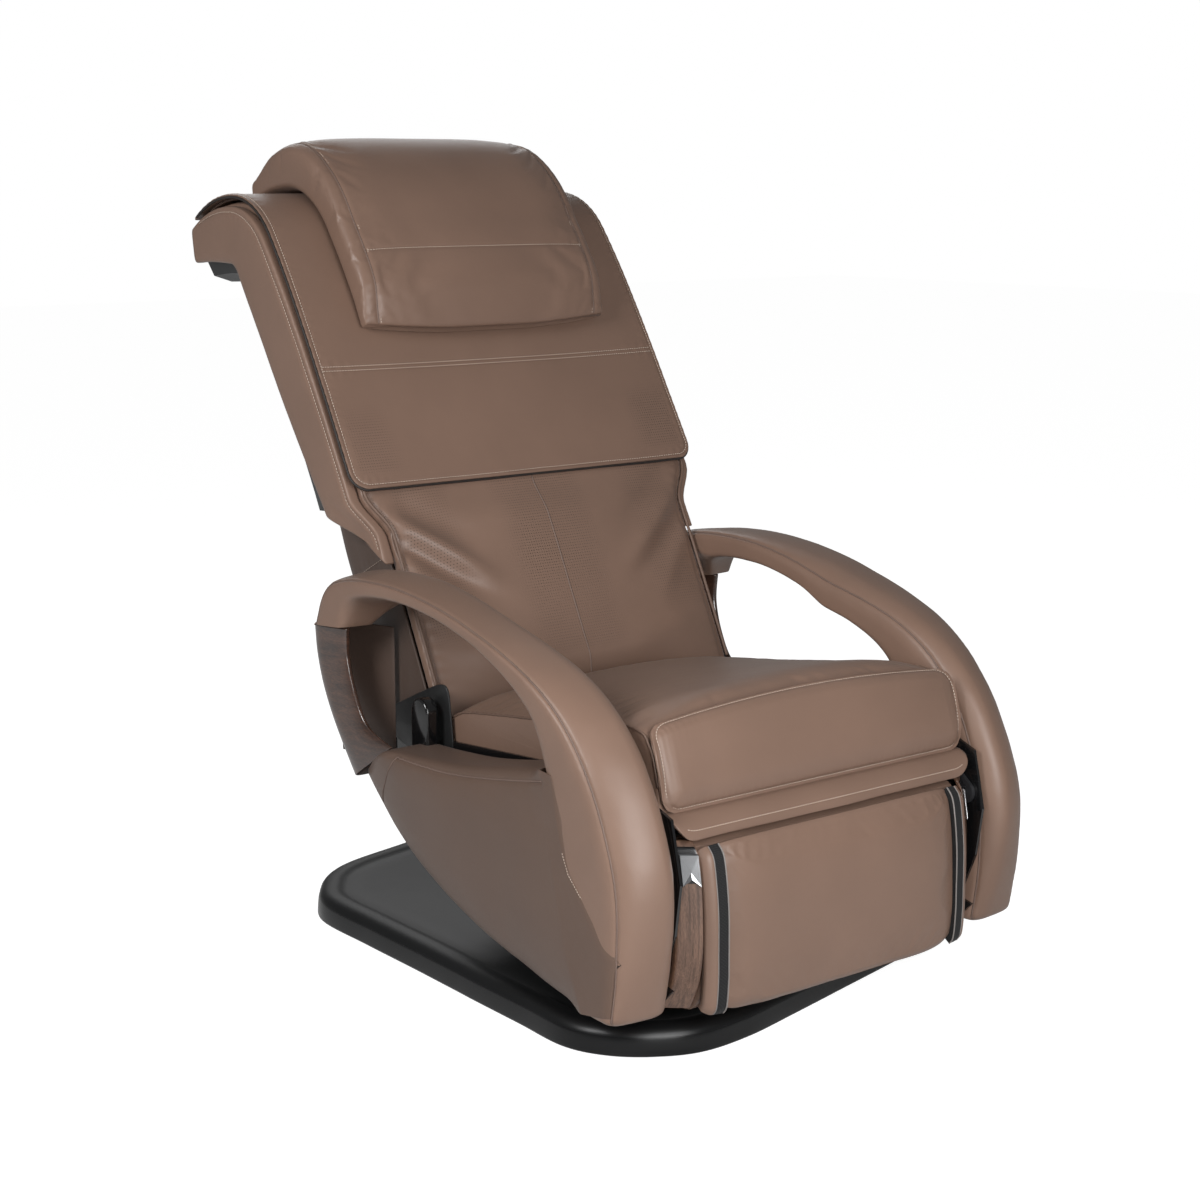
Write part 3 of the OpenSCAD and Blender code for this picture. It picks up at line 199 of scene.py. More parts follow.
def tube(name, line, r, material):
    """Round cord of radius r along a row of points, closed at both ends."""
    t = unit(np.gradient(line, axis=0))
    side = unit(np.cross(t, ASKEW))
    out = np.cross(side, t)
    a = (2 * np.pi * np.arange(CORD_SIDES) / CORD_SIDES)[None, :, None]
    return loft(name, line[:, None] + r * (np.cos(a) * side[:, None] + np.sin(a) * out[:, None]),
                material)


def stitches(name, line, out, material, pitch, length, r):
    """Row of thread stitches: one small capsule per pitch, laid on the seam."""
    at, up = even(line, pitch, out)
    t = unit(np.gradient(at, axis=0))
    side = unit(np.cross(t, up))
    up = np.cross(side, t)
    ends = np.array([-1, -0.72, 0.72, 1]) * length / 2
    fat = np.array([0.35, 1, 1, 0.35]) * r
    a = 2 * np.pi * np.arange(6) / 6
    local = np.stack([np.repeat(ends, 6), np.outer(fat, np.cos(a)).ravel(),
                      np.outer(fat, np.sin(a)).ravel() * 0.8
                      - 0.35 * r * np.repeat((ends / length * 2) ** 2, 6)], 1)
    axes = np.stack([t, side, up], 1)
    points = (at[:, None] + np.einsum("pk,nkd->npd", local, axes)).reshape(-1, 3)
    one = [[6 * k + j, 6 * k + (j + 1) % 6, 6 * k + 6 + (j + 1) % 6, 6 * k + 6 + j]
           for k in range(3) for j in range(6)] + [[5, 4, 3, 2, 1, 0], [18, 19, 20, 21, 22, 23]]
    faces = [[v + 24 * k for v in f] for k in range(len(at)) for f in one]
    if volume(points, faces[:20]) < 0:
        faces = [f[::-1] for f in faces]
    return build(name, points, faces, material)


# %% [markdown]
# ## Leather
# The cover is a smooth, slightly waxy leather in a warm taupe. Seen close it has
# a fine pebbled grain and very faint clouds of colour. The grain is two layers of
# cells and noise that only bend the light, and the clouds move the colour by a
# few parts in a hundred. A thin sheen and a middling roughness give the broad,
# soft highlights. The same recipe with other numbers gives the darker inner
# leather, whose colour is darkened further as painted shade for the hollows it
# lines, and a darker copy of the taupe that paints shade on the side panels. With
# a grid of pin holes it gives the perforated panels.

# %% Material helpers
def new_material(name):
    """Empty node material with its Principled shader."""
    m = bpy.data.materials.new(name)
    m.use_nodes = True
    nodes = m.node_tree.nodes
    nodes.clear()
    out = nodes.new("ShaderNodeOutputMaterial")
    shader = nodes.new("ShaderNodeBsdfPrincipled")
    m.node_tree.links.new(shader.outputs[0], out.inputs[0])
    return m, shader


def node(m, kind, inputs=None, **settings):
    """Adds a node, sets its plain settings, and links or fills its inputs."""
    n = m.node_tree.nodes.new("ShaderNode" + kind)
    for key, value in settings.items():
        setattr(n, key, value)
    for key, value in (inputs or {}).items():
        if isinstance(value, bpy.types.NodeSocket):
            m.node_tree.links.new(value, n.inputs[key])
        else:
            n.inputs[key].default_value = value
    return n


def link(m, a, b):
    """Links one socket to another."""
    m.node_tree.links.new(a, b)


def ramp(m, factor, stops):
    """Colour ramp through (place, colour) stops."""
    n = node(m, "ValToRGB", {"Fac": factor})
    e = n.color_ramp.elements
    while len(e) < len(stops):
        e.new(0.5)
    for k, (place, colour) in enumerate(stops):
        e[k].position = place
        e[k].color = (*colour, 1)
    return n.outputs["Color"]


def shade(colour, k):
    """A colour made lighter or darker by a factor."""
    return tuple(min(1.0, c * k) for c in colour)


def leather(name, colour, roughness=0.43, holes=None, grain=1.0):
    """Leather: clouds of colour, pebbled grain, and pin holes where asked."""
    m, s = new_material(name)
    place = node(m, "TexCoord").outputs["Object"]
    clouds = node(m, "TexNoise", {"Vector": place, "Scale": 7.0, "Detail": 5.0}).outputs["Fac"]
    tint = ramp(m, clouds, [(0.3, shade(colour, 0.93)), (0.7, shade(colour, 1.05))])
    cells = node(m, "TexVoronoi", {"Vector": place, "Scale": 620.0},
                 feature="DISTANCE_TO_EDGE").outputs["Distance"]
    cells = node(m, "MapRange", {"Value": cells, "From Min": 0.0, "From Max": 0.25}).outputs[0]
    fine = node(m, "TexNoise", {"Vector": place, "Scale": 340.0, "Detail": 6.0}).outputs["Fac"]
    height = node(m, "Math", {0: cells, 1: fine}, operation="MULTIPLY").outputs[0]
    worn = node(m, "MapRange", {"Value": fine, "To Min": roughness - 0.05,
                                "To Max": roughness + 0.07}).outputs[0]
    link(m, worn, s.inputs["Roughness"])
    lump = node(m, "Bump", {"Height": height, "Strength": 0.22 * grain, "Distance": 0.0004})
    out = lump.outputs[0]
    if holes:
        pitch, r = holes
        uv = node(m, "UVMap", uv_map="cloth").outputs[0]
        grid = node(m, "VectorMath", {0: uv, 1: (pitch, pitch, pitch)}, operation="DIVIDE")
        row = node(m, "VectorMath", {0: grid.outputs[0]}, operation="FRACTION").outputs[0]
        off = node(m, "VectorMath", {0: row, 1: (0.5, 0.5, 0.0)}, operation="SUBTRACT").outputs[0]
        flat = node(m, "VectorMath", {0: off, 1: (1, 1, 0)}, operation="MULTIPLY").outputs[0]
        far = node(m, "VectorMath", {0: flat}, operation="LENGTH").outputs["Value"]
        hole = node(m, "MapRange", {"Value": far, "From Min": r / pitch * 0.7,
                                    "From Max": r / pitch}).outputs[0]
        zone = node(m, "Attribute", attribute_name="pierced").outputs["Fac"]
        plain = node(m, "Math", {0: 1.0, 1: zone}, operation="SUBTRACT").outputs[0]
        solid = node(m, "Math", {0: hole, 1: plain}, operation="MAXIMUM").outputs[0]
        tint = node(m, "MixRGB", {"Fac": solid, "Color1": (*shade(colour, 0.12), 1),
                                  "Color2": tint}).outputs[0]
        out = node(m, "Bump", {"Height": solid, "Strength": 0.8, "Distance": 0.0006,
                               "Normal": out}).outputs[0]
    link(m, tint, s.inputs["Base Color"])
    link(m, out, s.inputs["Normal"])
    s.inputs["Specular IOR Level"].default_value = 0.34
    s.inputs["Sheen Weight"].default_value = 0.03
    s.inputs["Sheen Roughness"].default_value = 0.4
    s.inputs["Coat Weight"].default_value = 0.14
    s.inputs["Coat Roughness"].default_value = 0.32
    return m


TAUPE = (0.196, 0.122, 0.089)
# The inner leather is darker in its own right, and darker still as painted shade for the hollows
# inside the loops, under the back and in the calf wells.
DARK_TAUPE_SHADED = (0.075, 0.049, 0.038)
hide = leather("leather", TAUPE)
hide_pierced = leather("pierced_leather", TAUPE, holes=(0.0042, 0.00075))
hide_dark_shaded = leather("inner_leather_shaded", DARK_TAUPE_SHADED, 0.5)
# The side panels get a darker copy of the taupe: painted shade for the sides under the arm loops.
hide_side_shaded = leather("side_leather_shaded", shade(TAUPE, 0.56), 0.5)

# %% [markdown]
# ## Thread, piping and stretch cloth
# The seams are sewn with a thread a little lighter than the leather. Piping is a
# thin cord covered with the same leather, a shade darker all over, and the cord
# along the gusset is greyer. The narrow gusset beside the calf pad is black
# stretch cloth with a fine knit.

# %% Sewing materials
def plain(name, colour, roughness, grain=0.0, size=500.0, metallic=0.0, coat=0.0):
    """Moulded, painted or metal finish with fine tooth, colour drift and wear."""
    m, s = new_material(name)
    place = node(m, "TexCoord").outputs["Object"]
    drift = node(m, "TexNoise", {"Vector": place, "Scale": 9.0, "Detail": 4.0}).outputs["Fac"]
    link(m, ramp(m, drift, [(0.3, shade(colour, 0.92)), (0.7, shade(colour, 1.06))]),
         s.inputs["Base Color"])
    tooth = node(m, "TexNoise", {"Vector": place, "Scale": size, "Detail": 5.0}).outputs["Fac"]
    link(m, node(m, "MapRange", {"Value": tooth, "To Min": roughness * 0.88,
                                 "To Max": min(1.0, roughness * 1.12)}).outputs[0],
         s.inputs["Roughness"])
    if grain:
        link(m, node(m, "Bump", {"Height": tooth, "Strength": 0.2,
                                 "Distance": grain}).outputs[0], s.inputs["Normal"])
    s.inputs["Metallic"].default_value = metallic
    s.inputs["Coat Weight"].default_value = coat
    s.inputs["Coat Roughness"].default_value = 0.08
    return m


thread = plain("thread", (0.50, 0.40, 0.33), 0.62, 0.0002, 1500.0)
thread_dark = plain("thread_dark", (0.15, 0.10, 0.08), 0.62, 0.0002, 1500.0)
welt = leather("piping_leather", shade(TAUPE, 0.72), 0.5, grain=0.6)
# The black cord goes round the sheet's edge: partly the sheet's dark underside, partly painted
# shadow under the loose edge.
black_shadow_cord = plain("black_shadow_cord", (0.018, 0.013, 0.011), 0.6, 0.0002, 900.0)
welt_pale = leather("pale_piping", (0.22, 0.20, 0.19), 0.5, grain=0.6)


KNIT_PITCH = 0.0011


def knit_cloth(name, colour):
    """Black stretch cloth: two crossed waves make its fine ribs."""
    m, s = new_material(name)
    place = node(m, "TexCoord").outputs["Object"]
    wave = [node(m, "TexWave", {"Vector": place, "Scale": 0.16 / KNIT_PITCH}, wave_type="BANDS",
                 bands_direction=d).outputs["Fac"] for d in ("DIAGONAL", "Z")]
    mesh = node(m, "Math", {0: wave[0], 1: wave[1]}, operation="MULTIPLY").outputs[0]
    link(m, ramp(m, mesh, [(0.1, shade(colour, 0.4)), (0.8, shade(colour, 1.5))]),
         s.inputs["Base Color"])
    link(m, node(m, "Bump", {"Height": mesh, "Strength": 0.7, "Distance": 0.0005}).outputs[0],
         s.inputs["Normal"])
    s.inputs["Roughness"].default_value = 0.85
    s.inputs["Sheen Weight"].default_value = 0.04
    return m


gusset = knit_cloth("stretch_gusset", (0.007, 0.007, 0.008))

# %% [markdown]
# ## Wood, plastic and metal
# The crescent at the rear of each arm is veneer under a thick gloss lacquer, and
# the strips beside the calf rest are satin wood with the grain running slantwise.
# Both come from stretched noise. The floor base is a fine-textured black plastic,
# the handset is smooth and glossy, the latches are chrome, and the frame is satin
# black paint.

# %% Hard finishes
def wood(name, dark, light, roughness, coat, turn, scale, fine=60.0):
    """Wood: noise stretched along the grain, with fine pores and a lacquer coat."""
    m, s = new_material(name)
    place = node(m, "TexCoord").outputs["Object"]
    turned = node(m, "Mapping", {"Vector": place, "Rotation": turn,
                                 "Scale": scale}).outputs[0]
    broad = node(m, "TexNoise", {"Vector": turned, "Scale": 22.0, "Detail": 6.0,
                                 "Distortion": 0.6}).outputs["Fac"]
    pores = node(m, "TexNoise", {"Vector": turned, "Scale": fine * 3, "Detail": 4.0}).outputs["Fac"]
    both = node(m, "Math", {0: broad, 1: pores}, operation="ADD").outputs[0]
    half = node(m, "Math", {0: both, 1: 0.5}, operation="MULTIPLY").outputs[0]
    link(m, ramp(m, half, [(0.36, dark), (0.5, lerp(np.array(dark), np.array(light), 0.45)),
                           (0.64, light)]), s.inputs["Base Color"])
    link(m, node(m, "Bump", {"Height": pores, "Strength": 0.1, "Distance": 0.0002}).outputs[0],
         s.inputs["Normal"])
    s.inputs["Roughness"].default_value = roughness
    s.inputs["Coat Weight"].default_value = coat
    s.inputs["Coat Roughness"].default_value = 0.03
    return m


walnut = wood("walnut_lacquer", (0.018, 0.008, 0.005), (0.075, 0.034, 0.020), 0.30, 1.0,
              (0.5, 0.0, 0.3), (1.0, 1.0, 5.0))
strip_wood = wood("strip_wood", (0.045, 0.021, 0.012), (0.19, 0.105, 0.068), 0.36, 0.35,
                  (0.0, 0.16, 0.0), (16.0, 7.0, 0.7), 75.0)
plywood = wood("plywood", (0.30, 0.20, 0.11), (0.52, 0.38, 0.24), 0.7, 0.0, (0, 0, 0),
               (1.0, 7.0, 7.0))
black_plastic = plain("black_plastic", (0.012, 0.0125, 0.013), 0.42, 0.00025, 900.0)
black_gloss = plain("black_gloss", (0.006, 0.006, 0.0065), 0.16, coat=0.3)
black_paint = plain("black_paint", (0.022, 0.022, 0.024), 0.38, 0.0002, 300.0, coat=0.2)
bright_steel = plain("bright_steel", (0.52, 0.53, 0.55), 0.28, 0.0001, 400.0, metallic=1.0)
chrome = plain("chrome", (0.66, 0.67, 0.69), 0.12, metallic=1.0)
rubber = plain("rubber", (0.02, 0.02, 0.02), 0.8, 0.0004, 350.0)
grey_rubber = plain("grey_rubber", (0.16, 0.16, 0.165), 0.6, 0.0003, 500.0)
red_key = plain("red_key", (0.42, 0.03, 0.02), 0.4, 0.0001, 900.0)
grey_key = plain("grey_key", (0.40, 0.41, 0.43), 0.4, 0.0001, 900.0)

# CAD parts in the dark leather slot get the inner leather, whose colour is partly painted shade.
FINISH = {
    "black_plastic": black_plastic, "black_gloss": black_gloss, "rubber": rubber,
    "steel": black_paint, "bright_steel": bright_steel, "grey_rubber": grey_rubber,
    "chrome": chrome, "walnut": walnut, "plywood": plywood, "leather_dark": hide_dark_shaded,
    "leather": hide, "button_red": red_key, "button_grey": grey_key}
slots = {p["node"]: p["material_slot"] for p in frame["record"]["subparts"]}
for name, obj in frame["nodes"].items():
    for k in range(len(obj.material_slots)):
        obj.material_slots[k].material = FINISH[slots[name]]
print("finishes", len(FINISH))

# %% [markdown]
# ## Lines on a surface
# Seams, piping and stitches are lines that lie on a surface. A line is given as
# fractional rows and columns of a grid, and is lifted off by a chosen height. A
# seam also pulls the leather in, so the grid is pressed down beside it: the depth
# follows a bell curve of the distance to the line, and a quick ripple along the
# line gives the small puckers that the thread makes.

# %% Lines and creases
def on(grid, row, col):
    """Points on a grid at fractional rows and columns, blended from four neighbours."""
    m, n = grid.shape[:2]
    row = np.clip(row, 0, m - 1.0001)
    i = row.astype(int)
    a = (row - i)[:, None]
    col = np.mod(col, n)
    j = col.astype(int)
    b = (col - j)[:, None]
    k = (j + 1) % n
    return ((grid[i, j] * (1 - b) + grid[i, k] * b) * (1 - a)
            + (grid[i + 1, j] * (1 - b) + grid[i + 1, k] * b) * a)


def reach(grid, line):
    """Distance from every grid point to a line, and the place of the nearest point."""
    p = grid.reshape(-1, 3)
    best = np.full(len(p), 1e9)
    where = np.zeros(len(p))
    s = along(line)
    for k in range(0, len(line), 24):
        part = line[k:k + 24]
        d = np.linalg.norm(p[:, None] - part[None], axis=2)
        near = d.argmin(1)
        d = d[np.arange(len(p)), near]
        hit = d < best
        best[hit] = d[hit]
        where[hit] = s[k + near[hit]]
    return best.reshape(grid.shape[:2]), where.reshape(grid.shape[:2])


def press(grid, line, depth, width, pucker, pitch=13.0):
    """Presses a seam in: depth times a bell curve of distance, rippled along the seam."""
    d, s = reach(grid, line)
    fall = depth * np.exp(-(d / width) ** 2)
    if pucker:
        wave = np.sin(2 * np.pi * s / pitch + 1.3 * np.sin(s / 31.0))
        fall = fall + pucker * wave * np.exp(-((d - 2.2 * width) / (2.2 * width)) ** 2)
    return grid - normals(grid) * fall[..., None]


def lift(grid, line, height):
    """A line raised off its grid along the grid's outward direction at the nearest point."""
    p = grid.reshape(-1, 3)
    n = normals(grid).reshape(-1, 3)
    near = np.array([((p - q) ** 2).sum(1).argmin() for q in line])
    up = unit(n[near])
    return line + up * height, up


def inflate(grid, held, pressure, cap, frames, slack):
    """Lets air into a closed skin: held points stay, the others move by cap at most."""
    obj = loft("inflating", grid, hide)
    group = obj.vertex_groups.new(name="held")
    group.add(np.nonzero(held.ravel())[0].tolist(), 1.0, "REPLACE")
    cloth = obj.modifiers.new("cloth", "CLOTH")
    cloth.settings.quality = 5
    cloth.settings.use_pressure = True
    cloth.settings.uniform_pressure_force = pressure
    cloth.settings.tension_stiffness = 15.0
    cloth.settings.compression_stiffness = 15.0
    cloth.settings.shrink_min = -slack
    cloth.settings.vertex_group_mass = "held"
    cloth.settings.effector_weights.gravity = 0.0
    cloth.collision_settings.use_collision = False
    cloth.point_cache.frame_end = frames
    for f in range(1, frames + 1):
        bpy.context.scene.frame_set(f)
    mesh = obj.evaluated_get(bpy.context.evaluated_depsgraph_get()).to_mesh()
    got = np.empty(len(mesh.vertices) * 3)
    mesh.vertices.foreach_get("co", got)
    got = got.reshape(-1, 3)[:held.size].reshape(grid.shape) / MM
    data = obj.data
    bpy.data.objects.remove(obj)
    bpy.data.meshes.remove(data)
    bpy.context.scene.frame_set(1)
    move = got - grid
    size = np.linalg.norm(move, axis=2, keepdims=True)
    print("inflated: largest move", round(float(size.max()), 1), "mm")
    return grid + move * cap * np.tanh(size / cap) / np.maximum(size, 1e-6)


def same(grid):
    """The grid as it is, on the chair's left."""
    return grid


def mirrored(grid):
    """The same grid on the other side of the chair."""
    return grid * [-1, 1, 1]


SIDES = (("left", same), ("right", mirrored))


def pierce(obj, values):
    """Writes how far each point is perforated, 0 to 1, into an attribute."""
    layer = obj.data.attributes.new("pierced", "FLOAT", "POINT")
    full = np.zeros(len(obj.data.vertices))
    full[:values.size] = values.ravel()
    layer.data.foreach_set("value", full)


def finish(obj, body, slot, *nodes, fill=None):
    """Gives a piece its body and hides the nodes that it stands for; its finish slot is not used.
    """
    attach(obj, body)
    if nodes:
        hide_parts(*nodes)
    return obj


def sew(name, grid, line, height, yarn, size, body, slot="leather", turn=same):
    """A row of stitches over a line on a grid; size is pitch, length and radius."""
    at, up = lift(grid, line, height)
    return finish(stitches(name, turn(at), turn(up), yarn, *size), body, slot)


def lay_welt(name, line, r, body, turn=same):
    """A dark cord in the bottom of a seam."""
    return finish(tube(name, turn(line), r, thread_dark), body, "leather_dark")


# %% [markdown]
# ## Arm loops
# Each arm is a bent board with thick padding, covered by one long piece of
# leather that is sewn to a side piece along the outer and the inner edge. In side
# view its outer and inner edges are two smooth curves, and across it is a
# squarish ring whose top slopes down to the outside. The right arm is the left
# one with its X turned round. The seams lie on the two upper corners of the ring,
# so they are simply two columns of the grid.

# %% Arm loops
ARM_IN, ARM_OUT, ARM_DROP = 268.0, 359.0, 36.0
ARM_IN_REAR = 303.0          # the inner face at the rear end, where the loop is narrower
ARM_REAR, ARM_LONG = 238.0, 727.0
ARM_FOOT, ARM_TALL = 68.0, 479.0


def arm_at(f):
    """Side-view place from parts of the arm's depth and height."""
    f = np.asarray(f, float)
    return np.stack([ARM_REAR - ARM_LONG * f[..., 0], ARM_FOOT + ARM_TALL * f[..., 1]], -1)


arm_outer = arm_at([[0, 0.815], [0.062, 0.962], [0.28, 1], [0.528, 0.952], [0.773, 0.84],
                    [0.92, 0.668], [1, 0.41], [0.99, 0.19], [0.95, 0.0]])
arm_inner = arm_at([[0.122, 0.828], [0.172, 0.92], [0.335, 0.944], [0.525, 0.898],
                    [0.69, 0.778], [0.748, 0.628], [0.772, 0.42], [0.802, 0.2],
                    [0.862, 0.005]])
# Along the loop: how far it sags inside, slopes down outside, and rounds its inner top.
arm_sag = [0.25, 0.8, 1, 1, 0.75, 0.3, 0.05, 0, 0]
arm_slope = [0.2, 0.2, 0.2, 0.28, 0.34, 0.32, 0.24, 0.18, 0.15]
arm_round = [0, 4, 16, 32, 36, 52, 60, 36, 10]


def arm_surface(u, a, b, shrink):
    """Arm skin: u runs along the loop, a from inside to outside, b from below to above."""
    o, i = curve(arm_outer, u), curve(arm_inner, u)
    h = np.linalg.norm(o - i, axis=-1, keepdims=True)
    d = ((o - i) / h)[:, None]
    f = (a * shrink + 1) / 2
    low = -ARM_DROP * curve(arm_sag, u)[:, None] * (1 - f)
    inner = np.clip(1 - f / 0.52, 0, 1)
    high = (h * (1 - curve(arm_slope, u)[:, None] * f ** 1.6)
            - curve(arm_round, u)[:, None] * (1 - np.sqrt(1 - 0.998 * inner ** 2)))
    n = lerp(h / 2, lerp(low, high, (b + 1) / 2), shrink)
    p = i[:, None] + d * n[..., None]
    inside = lerp(ARM_IN_REAR, ARM_IN, smooth(0.0, 0.13, u))[:, None]
    return np.concatenate([lerp(inside, ARM_OUT, f)[..., None], p], -1)


ARM_N = 120
toe = np.linspace(0, np.pi / 2, 8)[1:]
arm_u = np.concatenate([[0, 0.0012], np.linspace(0.004, 0.976, 230),
                        0.976 + 0.024 * np.sin(toe)])
arm_shrink = np.ones(len(arm_u))
arm_shrink[0] = 0.965
arm_shrink[-len(toe):] = 0.45 + 0.55 * np.cos(toe)
ra, rb = ring(ARM_N, 5)
arm_grid = arm_surface(arm_u, ra[None], rb[None], arm_shrink[:, None])
arm_grid += normals(arm_grid) * (0.5 * noise(arm_grid, 95, 3)
                                 + 0.16 * noise(arm_grid, 24, 4))[..., None]
outer_col, inner_col = ARM_N / 8 - 1.5, 3 * ARM_N / 8 - 0.1
arm_rows = np.linspace(1, len(arm_u) - 6, 420)
arm_seams = [on(arm_grid, arm_rows, np.full(420, col)) for col in (outer_col, inner_col)]
for seam in arm_seams:
    arm_grid = press(arm_grid, seam, 1.5, 3.0, 0.10)
for side_name, turn in SIDES:
    finish(loft(f"arm_cover_{side_name}", turn(arm_grid), hide), "seat", "leather",
           f"arm_loop_{side_name}", fill=0.9)
    for part, seam in zip(("outer", "inner"), arm_seams):
        lay_welt(f"arm_welt_{part}_{side_name}", lift(arm_grid, seam, -1.3)[0], 1.25, "seat", turn)
print("arm loop", arm_grid.shape, "seam", round(along(arm_seams[0])[-1]), "mm")

# %% [markdown]
# ## Side panels
# Under each loop the side is closed by an upholstered panel. At the front its
# leather runs on over the foot of the arm as far as the arm's seam, and it meets
# the arm's own leather in a curved seam sewn with pale thread. So the panel's
# grid is longer than the panel: its last third is a thin skin that lies on the
# arm. Its front edge is a curve with one corner, where the pale seam meets the
# arm's seam. The X of the skin comes from the arm's ring: the distance from the
# inner edge gives the place on the ring, and the ring gives the X.

# %% Side panels
panel_low = arm_at([[0.12, 0.38], [0.255, 0.222], [0.446, 0.096], [0.65, 0.024],
                    [0.852, -0.004]])
panel_high = arm_at([[0.262, 0.512], [0.365, 0.522], [0.487, 0.54], [0.616, 0.574],
                     [0.749, 0.614]])
foot = on(arm_grid, np.linspace(len(arm_u) - 9, len(arm_u) - 66, 30),
          np.full(30, outer_col))[:, 1:]
pale = np.array([[-462, 158], [-440, 164], [-415, 177], [-398, 195], [-380, 222],
                 [-362, 252], [-349, 282], [-339, 318], [-333, 345], [-330, 361]])
foot = foot[foot[:, 1] < 156]
panel_front = np.concatenate([foot, pale])


def panel_base(u, v):
    """The panel itself: a ruled patch between its lower and upper edge curves."""
    low, high = curve(panel_low, u), curve(panel_high, u)
    p = lerp(low, high, v[..., None])
    end = lerp(panel_low[-1], panel_high[-1], v[..., None])
    edge = curve(arm_inner, lerp(0.992, 0.633, v)) + [2, 0]
    return p + (edge - end) * (u ** 4)[..., None]


def arm_face(p):
    """X of the arm's outer face at side-view places: nearest cross line, then the ring."""
    u = np.linspace(0.6, 1, 160)
    o, i = curve(arm_outer, u), curve(arm_inner, u)
    h = np.linalg.norm(o - i, axis=1)
    d = (o - i) / h[:, None]
    off = p[..., None, :] - i
    k = abs(off[..., 0] * d[:, 1] - off[..., 1] * d[:, 0]).argmin(-1)
    n = np.take_along_axis((off * d).sum(-1), k[..., None], -1)[..., 0]
    high = h[k] * (1 - curve(arm_slope, u)[k])
    b = np.clip(2 * n / high - 1, 0, 0.93)
    return lerp(ARM_IN, ARM_OUT, ((1 - b ** 5) ** 0.2 + 1) / 2)


SKIN = 0.45                  # how far the skin runs on past the panel's own length
CORNER_V = 0.30              # where on the front edge the pale seam meets the arm's seam
pu = np.concatenate([np.linspace(0, 1, 40) ** 0.8, np.linspace(1, 1 + SKIN, 60)[1:]])
PANEL_N, PANEL_OUT = 150, 357.0
pa, pb = ring(PANEL_N, 7)
V = np.broadcast_to((pb + 1) / 2, (len(pu), PANEL_N))
U = np.broadcast_to(pu[:, None], V.shape)
front_s = along(panel_front)
corner = front_s[len(foot)] / front_s[-1]
share = np.where(V < CORNER_V, V / CORNER_V * corner,
                 corner + (V - CORNER_V) / (1 - CORNER_V) * (1 - corner))
front = np.stack([np.interp(share * front_s[-1], front_s, panel_front[:, k]) for k in (0, 1)], -1)
side = panel_base(np.minimum(U, 1), V)
far = np.clip((U - 1) / SKIN, 0, 1)
side = lerp(side, front, far[..., None])
swell = 1 - abs(2 * np.minimum(U, 1) * 0.75 - 1) ** 3
body_x = (PANEL_OUT - lerp(40, 18, np.minimum(U, 1)) * (1 - V) ** 1.7
          + 5 * swell * (1 - abs(2 * V - 1) ** 3))
face_x = lerp(body_x, arm_face(side) + 1.1, smooth(0.72, 1.06, U))
back_x = lerp(ARM_IN + 0.5, face_x - 3.0, smooth(0.9, 1.0, U))
t = (pa[None] + 1) / 2
panel_grid = np.concatenate([lerp(back_x, face_x, t)[..., None], side], -1)
ripple = 0.9 * noise(panel_grid, 150, 8) + 0.25 * noise(panel_grid, 40, 9)
panel_grid[..., 0] += ripple * smooth(0.3, 0.9, t) * (1 - far)
TOP_COL, REAR_ROW = 17.0, 3.0
top_seam = on(panel_grid, np.linspace(REAR_ROW, 44, 200), np.full(200, TOP_COL))
rear_seam = on(panel_grid, np.full(120, REAR_ROW), np.linspace(TOP_COL, -12.0, 120))
for seam in (top_seam, rear_seam):
    panel_grid = press(panel_grid, seam, 1.5, 3.2, 0.12)
pale_rows = np.full(len(pale) * 12, len(pu) - 1.6)
v_line = np.linspace(0.36, 0.74, len(pale_rows))
outer = np.arange(PANEL_N)[pa > 0.4]
outer = outer[np.argsort(pb[outer])]
cols = np.interp(2 * v_line - 1, pb[outer], outer - PANEL_N * (outer > PANEL_N / 2))
pale_line = on(panel_grid, pale_rows, cols)
# The panel's leather is the darker copy of the taupe, painted shade for the side under the loop.
for side_name, turn in SIDES:
    finish(loft(f"side_cover_{side_name}", turn(panel_grid), hide_side_shaded), "seat", "leather",
           f"side_panel_{side_name}", fill=0.7)
    for part, seam in (("top", top_seam), ("rear", rear_seam)):
        lay_welt(f"side_welt_{part}_{side_name}", lift(panel_grid, seam, -1.3)[0], 1.15, "seat",
                 turn)
    sew(f"side_stitch_{side_name}", panel_grid, pale_line, 0.5, thread, (3.6, 2.5, 0.5), "seat",
        turn=turn)
print("side panel", panel_grid.shape)

# %% [markdown]
# ## The line of the back
# In side view the back is one smooth line: it leans back more and more, then
# rolls over at the head. Everything on the backrest is placed by its distance s
# along that line and its height n off it. The lean is a straight-line table over
# s, and the line is the running sum of small steps in the lean's direction.

# %% Back line
BACK_L = 956.0
ROLL_FROM, ROLL_DROP = 850.0, 24.0
HALF_WAIST, HALF_SHOULDER = 261.5, 289.0
table_s = np.arange(-80, 1000, 0.5)
lean = np.radians(np.interp(table_s, [-80, 0, 280, 600, 715, 840, 956, 1000],
                            [25.4, 26, 28, 33, 38, 92, 98, 100.3]))
step = np.stack([np.sin(lean), np.cos(lean)], 1) * 0.5
back_line = np.cumsum(step, 0) - step / 2
back_line += np.array([52, 371]) - back_line[np.argmin(abs(table_s)) - 1] - step[0] / 2


def back(x, s, n):
    """Place on the backrest: x across, s along the line, n off it towards the sitter."""
    x, s, n = np.broadcast_arrays(x, s, n)
    y, z = (np.interp(s, table_s, back_line[:, k]) for k in (0, 1))
    a = np.interp(s, table_s, lean)
    return np.stack([x, y - n * np.cos(a), z + n * np.sin(a)], -1).astype(float)


def roll(s):
    """How far the stuffing falls away over the top edge: square of the way past ROLL_FROM."""
    return ROLL_DROP * (np.clip(s - ROLL_FROM, 0, None) / (BACK_L - ROLL_FROM)) ** 2


